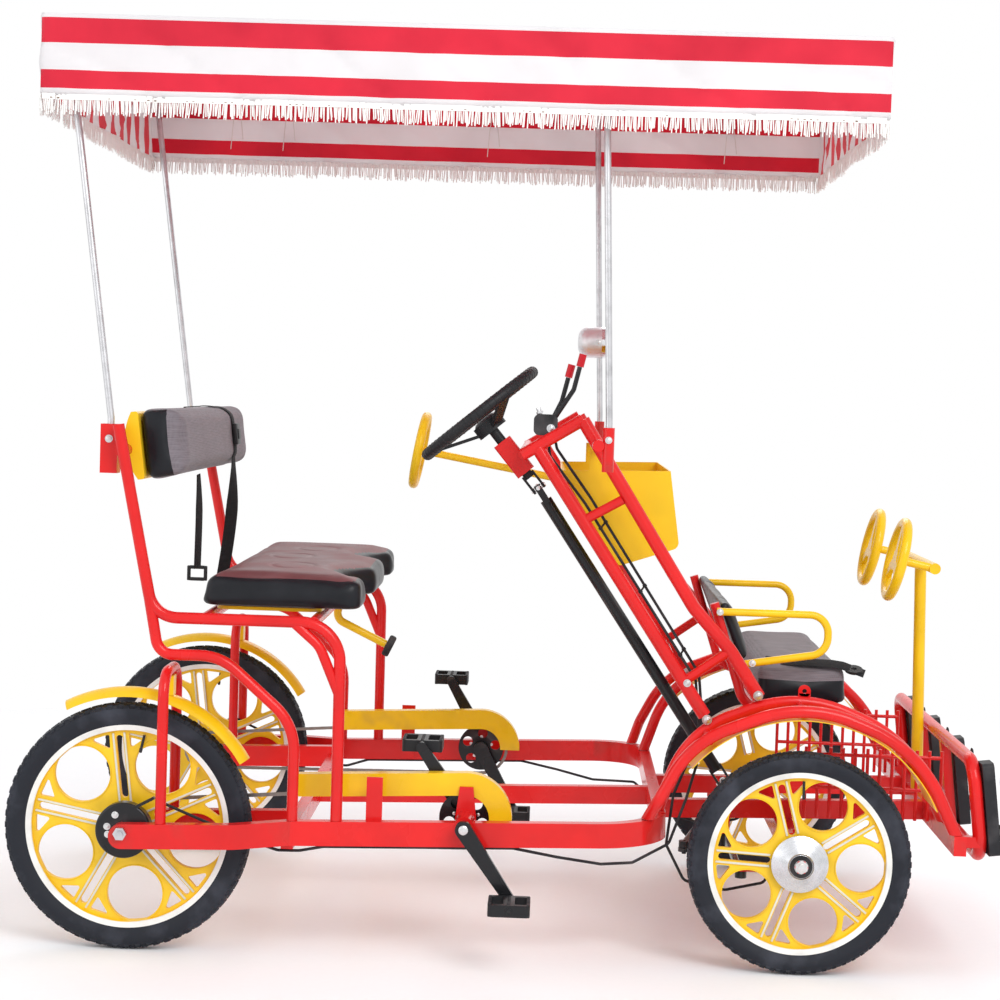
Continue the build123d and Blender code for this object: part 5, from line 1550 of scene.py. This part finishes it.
@dataclass
class LapBelt:
    """The two straps over the backrest with their buckle, and the child seat's strap.

    short holds the short strap's upper and lower end, eye the child strap's ring.
    """

    y: float = 0.221
    width: float = 0.042
    thickness: float = 0.0024
    pad_core: tuple[float, float] = (-0.722, 1.04)
    tail_end: tuple[float, float] = (-0.694, 0.7)
    short: tuple[Vector, Vector] = (Vector((-0.726, 0.03, 0.972)), Vector((-0.722, 0.03, 0.742)))
    buckle_from_end: int = 14
    child_flat: tuple[float, float] = (0.019, 0.0012)
    eye: tuple[float, float] = (0.006, 0.0185)

    def over(self, pad: Object) -> tuple[list[Vector], list[Vector]]:
        """The belt's way over the pad, found by looking in at the pad from outside.

        Args:
            pad: The finished cushion.

        Returns:
            Points from behind the shell, over the top and down the front, and the way out at each.
        """
        graph = bpy.context.evaluated_depsgraph_get()
        tree = BVHTree.FromObject(pad.evaluated_get(graph), graph)
        rear = Vector((-0.9914, 0, -0.1305))
        heights = (1.03, 1.06, 1.09, 1.105)
        points = [Vector((-0.7725 - (z - 0.955) * 0.1317, self.y, z)) for z in heights]
        outs = [rear] * len(points)
        core = Vector((self.pad_core[0], self.y, self.pad_core[1]))
        for turn in range(118, -48, -4):
            out = polar(1, math.radians(turn))
            hit = tree.ray_cast(core + out * 0.3, -out)[0]
            if hit:
                points.append(hit + out * self.thickness)
                outs.append(out)
        return points, outs

    def hang(
        self, start: Vector, end: Vector, twist: float, bow: float
    ) -> tuple[list[Vector], list[Vector]]:
        """A hanging length of strap that turns as it falls.

        Args:
            start: Its upper end.
            end: Its lower end.
            twist: Degrees that it has turned by its lower end.
            bow: How far its middle stands forward.

        Returns:
            The points after the first, and the way out at each.
        """
        points, outs = [], []
        for step in range(1, 15):
            share = step / 14
            swing = Vector((bow * math.sin(math.pi * share), 0.003 * math.sin(math.tau * share), 0))
            turn = math.radians(twist) * min(1.0, share * 2.5)
            points.append(start.lerp(end, share) + swing)
            outs.append(Vector((math.cos(turn), -math.sin(turn), 0)))
        return points, outs

    def strap(
        self, name: str, points: list[Vector], outs: list[Vector], flat: tuple[float, float]
    ) -> Object:
        """Build one length of webbing.

        Args:
            name: The strap's name.
            points: Its centre line.
            outs: The way out of its face at each point.
            flat: Half its width and half its thickness.

        Returns:
            The strap.
        """
        shape = Shape(name)
        shape.tube(points, flat=flat, ups=outs)
        return shape.finish("black_webbing", 50.0)

    def build(self, pad: Object) -> None:
        """Build the long strap with its plate, and the short strap with its buckle frame.

        Args:
            pad: The backrest's finished pad.
        """
        flat = (self.width / 2, self.thickness / 2)
        points, outs = self.over(pad)
        end = Vector((self.tail_end[0], self.y, self.tail_end[1]))
        tail, tail_outs = self.hang(points[-1], end, 34, 0.008)
        long = self.strap("lap_belt_long", [*points, *tail], [*outs, *tail_outs], flat)
        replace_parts(long, "lap_belt")
        low, low_outs = self.hang(*self.short, 13, 0.003)
        self.strap("lap_belt_short", low, low_outs, flat)
        spot, out = points[-self.buckle_from_end], outs[-self.buckle_from_end]
        buckle = Shape("lap_belt_buckle")
        buckle.box(spot + out * 0.005, (0.052, 0.05, 0.011), upright(out), 0.003)
        buckle.box(spot + out * 0.011, (0.03, 0.024, 0.004), upright(out), 0.001)
        middle = low[-1] - Z_AXIS * 0.012
        for sign in (-1, 1):
            upper = middle + X_AXIS * sign * 0.019
            buckle.box(upper, (0.008, 0.007, 0.034), round_off=0.002)
            level = middle + Z_AXIS * sign * 0.0135
            buckle.box(level, (0.036, 0.007, 0.008), round_off=0.002)
        buckle.finish("black_plastic")

    def build_child_strap(self) -> None:
        """Build the webbing across the child cushion and the eye at its end that juts forward."""
        points = [Vector((0.545 + 0.02 * i, -0.28 - 0.004 * i, 0.6145)) for i in range(8)]
        ends = ((0.706, -0.312, 0.612), (0.73, -0.317, 0.604), (0.752, -0.321, 0.597))
        points += [Vector(end) for end in ends]
        out = Vector((0, -0.35, 1)).normalized()
        self.strap("child_strap", points, [out] * len(points), self.child_flat)
        eye = Shape("child_strap_eye")
        eye.ring(self.eye, 0.003, points[-2], out, 28)
        eye.finish("black_plastic")


# ---- Chains ----


@dataclass
class Chain:
    """A roller chain round the chainring and the sprocket of one side."""

    side: Side
    ring_centre: Vector = CRANK_AXLE
    sprocket_centre: Vector = Vector((REAR_AXLE_X, 0, REAR_RADIUS))
    ring_radius: float = 0.0634
    sprocket_radius: float = 0.0424
    y: float = 0.448
    pitch: float = 0.0127
    arc_steps: int = 24

    def loop(self) -> list[Vector]:
        """The chain's line from the chainring's foot round the sprocket and back.

        Returns:
            Its points, the last in the first one's place.
        """
        run = self.sprocket_centre - self.ring_centre
        tilt = math.atan2(run.z, run.x)
        lean = math.acos((self.ring_radius - self.sprocket_radius) / run.length)
        low, high = tilt - lean, tilt + lean
        points = [self.ring_centre + polar(self.ring_radius, low)]
        for centre, radius, start, end in (
            (self.sprocket_centre, self.sprocket_radius, low, high),
            (self.ring_centre, self.ring_radius, high, low + math.tau),
        ):
            for step in range(self.arc_steps + 1):
                angle = start + (end - start) * step / self.arc_steps
                points.append(centre + polar(radius, angle))
        return points

    def pins(self) -> list[Vector]:
        """Where the pins are, about one pitch apart round the loop.

        Returns:
            Their places.
        """
        loop = self.loop()
        lengths = [0.0]
        for before, point in zip(loop, loop[1:]):
            lengths.append(lengths[-1] + (point - before).length)
        count = 2 * round(lengths[-1] / self.pitch / 2)
        places = []
        index = 0
        for link in range(count):
            want = lengths[-1] * link / count
            while lengths[index + 1] < want:
                index += 1
            share = (want - lengths[index]) / (lengths[index + 1] - lengths[index])
            places.append(loop[index].lerp(loop[index + 1], share))
        return places

    def build(self) -> None:
        """Build the rollers, and the pairs of side plates that lie by turns inside and outside."""
        shape = Shape(f"chain_links_{self.side.label}")
        pins = [pin + self.side.out * self.y for pin in self.pins()]
        for number, (here, there) in enumerate(zip(pins, [*pins[1:], pins[0]])):
            roller, gap = ((0.0026, 0.0034), (0.0019, 0.0024))[number % 2]
            shape.rod(here - Y_AXIS * 0.0037, here + Y_AXIS * 0.0037, roller, 8)
            run = there - here
            turn = Matrix.Rotation(-math.atan2(run.z, run.x), 4, "Y")
            for flank in (-gap, gap):
                middle = (here + there) / 2 + Y_AXIS * flank
                shape.box(middle, (run.length + 0.006, 0.0009, 0.0066), turn)
        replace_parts(shape.finish("chain_steel", 40.0), "chains")


# ---- Trim ----

# Each bolt on both sides of the frame: ahead of the rear axle, out, up, width across flats.
FRAME_BOLTS = (
    (-0.032, 0.5625, 0.262, 0.009),
    (-0.03, 0.5625, 0.246, 0.009),
    (-0.016, 0.5625, 0.286, 0.009),
    (-0.058, 0.5075, 1.045, 0.01),
    (0.956, 0.502, 1.075, 0.009),
    (1.183, 0.3988, 0.499, 0.013),
    (1.287, 0.3988, 0.553, 0.013),
    (1.139, 0.3985, 0.574, 0.01),
    (0.504, 0.4622, 0.352, 0.01),
    (1.204, 0.371, 0.722, 0.009),
    (1.275, 0.371, 0.617, 0.009),
)


@dataclass
class Trim:
    """The small fittings: bolts, studs, grips, the lamp's glass and the treads of the pedals."""

    lamp_radius: float = 0.038
    lamp_lip: float = 0.0055
    chainring_bolts: float = 0.026
    bumper_face: float = 1.0172
    bumper_studs: tuple[float, ...] = (-0.478, -0.15, 0.15, 0.478)
    shaft_joints: tuple[Vector, Vector] = (
        Vector((0.051, STEERING_Y, 0.963)),
        Vector((0.471, STEERING_Y, 0.345)),
    )
    wheel_centre: Vector = Vector((-0.079, STEERING_Y, 1.118))
    wheel_axis: Vector = Vector((-0.6426, 0, 0.7662))
    ridges: int = 60
    pedals: tuple[float, float] = (0.63, 0.37)
    pedal_bars: tuple[float, ...] = (-0.038, 0.0, 0.038)

    def build_frame_bolts(self) -> None:
        """Build the bolts of the frame: ladders, mudguards, bumper, bin and seat feet."""
        shape = Shape("frame_bolts")
        for sign in (-1, 1):
            for x, y, z, width in FRAME_BOLTS:
                shape.bolt((ahead(x), sign * y, z), (0, sign, 0), width)
        shape.finish("zinc")

    def build_crank_caps(self) -> None:
        """Build the bright caps on the crank axles and the bolts of the chainrings."""
        profile = [(0.0, 0.004), (0.006, 0.0038), (0.0095, 0.002), (0.0105, -0.001), (0.0, -0.001)]
        for side in Side:
            caps = Shape(f"crank_cap_{side.label}", f"cranks_{side.label}")
            caps.lathe(profile, CRANK_AXLE + side.out * 0.5822, side.out, 24)
            for turn in range(5):
                spot = polar(self.chainring_bolts, math.radians(72 * turn - 55))
                caps.dome(CRANK_AXLE + side.out * 0.4522 + spot, side.out, 0.004, 0.002)
            caps.finish("zinc")

    def build_spindle_nuts(self) -> None:
        """Build the nut on each front spindle and its black washer."""
        black = [(0.0145, 0.0008), (0.0145, 0.0045), (0.0225, 0.0035), (0.0232, 0.0008)]
        bright = [(0.0, 0.0032), (0.0142, 0.0032), (0.0148, 0.0008), (0.0, 0.0008)]
        for side in Side:
            out, body = side.out, f"knuckle_{side.label}"
            spot = Vector((ahead(WHEELBASE), side.value * 0.5421, FRONT_RADIUS))
            washer = Shape(f"spindle_washer_{side.label}", body)
            washer.lathe(black, spot, out, 32, closed=True)
            washer.finish("black_paint")
            nut = Shape(f"spindle_nut_{side.label}", body)
            nut.lathe(bright, spot, out, 32)
            nut.hexagon(spot + out * 0.0008, out, 0.0248, 0.0068)
            nut.rod(spot, spot + out * 0.0124, 0.0078, round_off=0.001)
            nut.finish("zinc")

    def build_arch_lugs(self) -> None:
        """Build the holed lug that stands on each inner front arch."""
        shape = Shape("arch_lugs")
        for sign in (-1, 1):
            foot = Vector((0.62, sign * 0.385, 0.5505))
            shape.box(foot + Z_AXIS * 0.004, (0.026, 0.005, 0.012), round_off=0.0008)
            shape.ring((0.0048, 0.013), 0.0025, foot + Z_AXIS * 0.014, Y_AXIS, 28)
        shape.finish("red_paint")

    def build_bumper_studs(self) -> None:
        """Build the round studs and their cups on the faces of the bumper rubbers."""
        studs = Shape("bumper_studs")
        cups = Shape("bumper_stud_cups")
        profile = [(0.0098, -0.001), (0.0105, 0.0016), (0.0155, 0.0016), (0.017, -0.001)]
        for y, z in product(self.bumper_studs, (0.3, 0.405)):
            spot = Vector((self.bumper_face, y, z))
            studs.dome(spot, X_AXIS, 0.0085, 0.0055)
            cups.lathe(profile, spot + X_AXIS * 0.0006, X_AXIS, 28, closed=True)
        studs.finish("zinc")
        cups.finish("black_rubber")

    def build_lamp(self) -> None:
        """Build the headlamp's domed glass, its bright bezel and the bracket's screw."""
        low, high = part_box("headlight")
        middle = Vector((high[0] + 0.0005, low[1] + self.lamp_radius, (low[2] + high[2]) / 2))
        reach = self.lamp_radius - self.lamp_lip
        glass = Shape("headlight_glass")
        shares = (0.0, 0.25, 0.5, 0.7, 0.85, 0.95, 1.0)
        dome = [(reach * share, 0.007 * math.sqrt(1.0 - share**2)) for share in shares]
        glass.lathe([*dome, (reach, -0.002), (0.0, -0.002)], middle, X_AXIS, 40)
        glass.finish("lens", 50.0)
        bezel = Shape("headlight_bezel")
        front = ((-0.0004, -0.002), (0.0003, 0.0022), (0.003, 0.0034), (0.0058, 0.0015))
        section = [*front, (0.0061, -0.008), (0.0052, -0.008)]
        profile = [(reach + over, along) for over, along in section]
        bezel.lathe(profile, middle, X_AXIS, 48, closed=True)
        bezel.finish("chrome")
        screw = Shape("headlight_screw")
        screw.bolt((middle.x - 0.016, low[1] + 0.0006, middle.z), (0, -1, 0), 0.01)
        screw.finish("zinc")

    def build_cross_joints(self) -> None:
        """Build the cross with its thick middle in each of the steering shaft's two joints."""
        shape = Shape("steering_crosses", "steering_shaft")
        upper, lower = self.shaft_joints
        second = (upper - lower).normalized().cross(Y_AXIS)
        for middle in self.shaft_joints:
            half = Y_AXIS * 0.0092
            shape.rod(middle - half, middle + half, 0.0092, round_off=0.002)
            for axis in (Y_AXIS, second):
                half = axis * 0.0172
                shape.rod(middle - half, middle + half, 0.0048, 16, round_off=0.0008)
        shape.finish("zinc")

    def build_lever_fittings(self) -> None:
        """Build the bright barrels and the clamp screw on the brake levers' block."""
        shape = Shape("lever_fittings")
        lean = Vector((-0.35, 0, 1)).normalized()
        for y in (-0.36, -0.334):
            foot = Vector((ahead(0.815), y, 1.1212))
            shape.rod(foot, foot + lean * 0.0145, 0.0046, 18, round_off=0.0008)
            shape.hexagon(foot + lean * 0.002, lean, 0.0125, 0.0045)
        shape.bolt((ahead(0.838), -0.3715, 1.093), (0, -1, 0), 0.011)
        shape.finish("chrome")

    def build_lever_collar(self) -> None:
        """Build the welded collar between the seat lever's top and the seat's cross tube."""
        top = Vector((ahead(0.372), 0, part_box("seat_lever")[1][2]))
        shape = Shape("seat_lever_collar")
        shape.rod(top - Z_AXIS * 0.006, top + Z_AXIS * 0.0035, 0.0118, 24, round_off=0.001)
        shape.finish("yellow_paint")

    def build_cable_clips(self) -> None:
        """Build the clips that tie the two brake cables together down the ladder."""
        shape = Shape("cable_clips")
        near = (Vector((ahead(0.915), -0.345, 0.938)), Vector((ahead(1.16), -0.345, 0.575)))
        far = (Vector((ahead(0.926), -0.322, 0.95)), Vector((ahead(1.168), -0.322, 0.585)))
        for share in (0.14, 0.5, 0.86):
            spots = [top.lerp(foot, share) for top, foot in (near, far)]
            for spot in spots:
                shape.ring((0.0029, 0.0046), 0.0028, spot, (0.56, 0, -0.83), 18)
            gap = (spots[1] - spots[0]).normalized() * 0.0042
            shape.rod(spots[0] + gap, spots[1] - gap, 0.0022, 10)
        shape.finish("black_plastic")

    def build_wheel_grip(self) -> None:
        """Build the finger ridges inside the steering wheel's rim and its centre cap."""
        centre, axis = self.wheel_centre, self.wheel_axis
        across = axis.cross(Y_AXIS)
        ridges = Shape("steering_wheel_ridges", "steering_wheel")
        ridge = [(0.0119, -0.0012), (0.0128, -0.0006), (0.0128, 0.0006), (0.0119, 0.0012)]
        for step in range(self.ridges):
            angle = math.tau * step / self.ridges
            out = Y_AXIS * math.cos(angle) + across * math.sin(angle)
            along = Y_AXIS * -math.sin(angle) + across * math.cos(angle)
            ridges.lathe(ridge, centre + out * 0.142, along, 14, closed=True)
        ridges.finish("black_plastic")
        cap = Shape("steering_wheel_cap", "steering_wheel")
        foot = centre - axis * 0.0215
        rise = [(0.0, 0.009), (0.016, 0.0082), (0.024, 0.006), (0.0285, 0.002)]
        cap.lathe([*rise, (0.03, -0.001), (0.0, -0.001)], foot, axis, 40)
        for angle in (90, 210, 330):
            turn = math.radians(angle)
            out = Y_AXIS * math.cos(turn) + across * math.sin(turn)
            cap.dome(foot + out * 0.031 - axis * 0.0015, axis, 0.0022, 0.0018)
        cap.finish("black_plastic")

    def build_pedals(self) -> None:
        """Build the raised tread studs on both faces of each pedal."""
        size = (0.0062, 0.0062, 0.0022)
        for side in Side:
            shape = Shape(f"pedal_treads_{side.label}", f"cranks_{side.label}")
            outer_angle = -55 if side is Side.RIGHT else 120
            for y, angle in zip(self.pedals, (outer_angle, outer_angle + 180)):
                spot = CRANK_AXLE + side.out * y + polar(CRANK_LENGTH, math.radians(angle))
                for z, x, step in product((-0.0122, 0.0122), self.pedal_bars, range(-3, 4)):
                    shape.box(spot + Vector((x, step * 0.0115, z)), size, round_off=0.0006)
            shape.finish("black_rubber")

    def build(self) -> None:
        """Build every fitting."""
        self.build_frame_bolts()
        self.build_crank_caps()
        self.build_spindle_nuts()
        self.build_arch_lugs()
        self.build_bumper_studs()
        self.build_lamp()
        self.build_cross_joints()
        self.build_lever_fittings()
        self.build_lever_collar()
        self.build_cable_clips()
        self.build_wheel_grip()
        self.build_pedals()


# ---- Studio ----


@dataclass(frozen=True)
class Camera:
    """The photo's viewpoint: its place, its turns in radians and its lens in millimetres."""

    place: Vector = Vector((0.084, -4.948, 1.169))
    yaw: float = math.radians(-1.39)
    pitch: float = math.radians(2.86)
    roll: float = math.radians(1.88)
    lens: float = 79.08

    def build(self) -> None:
        """Make the camera and set it as the scene's."""
        level = Vector((math.sin(self.yaw), math.cos(self.yaw), 0))
        right = Vector((math.cos(self.yaw), -math.sin(self.yaw), 0))
        look = level * math.cos(self.pitch) - Z_AXIS * math.sin(self.pitch)
        lifted = Z_AXIS * math.cos(self.pitch) + level * math.sin(self.pitch)
        across = right * math.cos(self.roll) + lifted * math.sin(self.roll)
        above = lifted * math.cos(self.roll) - right * math.sin(self.roll)
        data = bpy.data.cameras.new("camera")
        data.lens = self.lens
        data.sensor_width = 36
        camera = add_object("camera", data)
        camera.matrix_world = Matrix.Translation(self.place) @ axes(across, above, -look)
        bpy.context.scene.camera = camera


@dataclass(frozen=True)
class Studio:
    """A pale floor that fades away, soft lamps and a white background."""

    floor_size: float = 60.0
    floor_fade: tuple[float, float] = (1.7, 3.6)
    target: Vector = Vector((0, 0, 0.9))

    def build_floor(self) -> None:
        """Build the floor."""
        mesh = bmesh.new()
        bmesh.ops.create_grid(mesh, x_segments=1, y_segments=1, size=self.floor_size / 2)
        floor = add_mesh("floor", mesh)
        shader = Shader("floor")
        spot = shader.place()
        away = shader.node("VectorMath", operation="LENGTH")
        shader.link(spot, away.inputs[0])
        speck = shader.speckle(spot, 60.0, 3.0)
        shader.colour(shader.blend(speck, (0.96, 0.96, 0.96), (0.99, 0.99, 0.99)))
        shader.feed("Roughness", 0.9)
        shader.feed("Specular IOR Level", 0.1)
        shader.feed("Alpha", shader.ramp(away.outputs["Value"], *self.floor_fade, 1.0, 0.0))
        floor.data.materials.append(shader.material)

    def build_lamp(self, name: str, place: Place, size: float, power: float) -> None:
        """Add an area lamp that looks at the surrey's middle.

        Args:
            name: The lamp's name.
            place: Where it stands.
            size: Its width.
            power: Its power in watts.
        """
        data = bpy.data.lights.new(name, "AREA")
        data.size = size
        data.energy = power
        turn = (self.target - Vector(place)).to_track_quat("-Z", "Y").to_matrix().to_4x4()
        add_object(name, data).matrix_world = Matrix.Translation(place) @ turn

    def build_world(self) -> None:
        """Make a background that is white to the camera and in reflections, and softer as light."""
        world = bpy.data.worlds.new("studio")
        world.use_nodes = True
        nodes, links = world.node_tree.nodes, world.node_tree.links
        nodes.clear()
        path = nodes.new("ShaderNodeLightPath")
        seen = nodes.new("ShaderNodeBackground")
        lit = nodes.new("ShaderNodeBackground")
        seen.inputs["Color"].default_value = (1, 1, 1, 1)
        lit.inputs["Color"].default_value = (0.96, 0.97, 1, 1)
        lit.inputs["Strength"].default_value = 0.85
        either = path.outputs["Is Camera Ray"]
        for ray in ("Is Glossy Ray", "Is Transmission Ray"):
            larger = nodes.new("ShaderNodeMath")
            larger.operation = "MAXIMUM"
            links.new(either, larger.inputs[0])
            links.new(path.outputs[ray], larger.inputs[1])
            either = larger.outputs[0]
        mix = nodes.new("ShaderNodeMixShader")
        for socket, source in enumerate((either, lit.outputs[0], seen.outputs[0])):
            links.new(source, mix.inputs[socket])
        end = nodes.new("ShaderNodeOutputWorld")
        links.new(mix.outputs[0], end.inputs["Surface"])
        bpy.context.scene.world = world

    def build(self) -> None:
        """Build the studio."""
        self.build_floor()
        self.build_lamp("key", (2.5, -5.0, 4.5), 3.0, 190)
        self.build_lamp("fill", (-4.5, -3.0, 2.5), 3.5, 45)
        self.build_lamp("back", (0.5, 4.5, 4.0), 3.0, 70)
        self.build_world()
        bpy.context.scene.view_settings.view_transform = "Standard"


SPECIAL_FINISH = {
    "front_hub_cone_right": "brushed",
    "front_hub_cone_left": "brushed",
    "headlight": "lamp_shell",
}


def dress_frame(wheels: list[RoadWheel]) -> None:
    """Give every node that stays visible its finish.

    Args:
        wheels: The wheels, each of which has its own paint.
    """
    wheel_of = {wheel.body: wheel for wheel in wheels}
    for name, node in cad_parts.items():
        slots = node.data.materials
        if name in wheel_of:
            finish = wheel_of[name].paint()
        else:
            finish = material(SPECIAL_FINISH.get(name, slots[0].name.split(".")[0]))
        for index in range(len(slots)):
            slots[index] = finish


def main() -> None:
    """Dress the frame, build its looks and set the studio."""
    logging.basicConfig(level=logging.INFO)
    wheels = [RoadWheel(axle, side) for side in Side for axle in Axle]
    dress_frame(wheels)
    for wheel in wheels:
        wheel.build()
    Canopy().build()
    upholstery = Upholstery()
    upholstery.build_bench()
    pad = upholstery.build_back()
    upholstery.build_child_seat()
    belt = LapBelt()
    belt.build(pad)
    belt.build_child_strap()
    for side in Side:
        Chain(side).build()
    Trim().build()
    Studio().build()
    Camera().build()


if __name__ == "__main__":
    main()
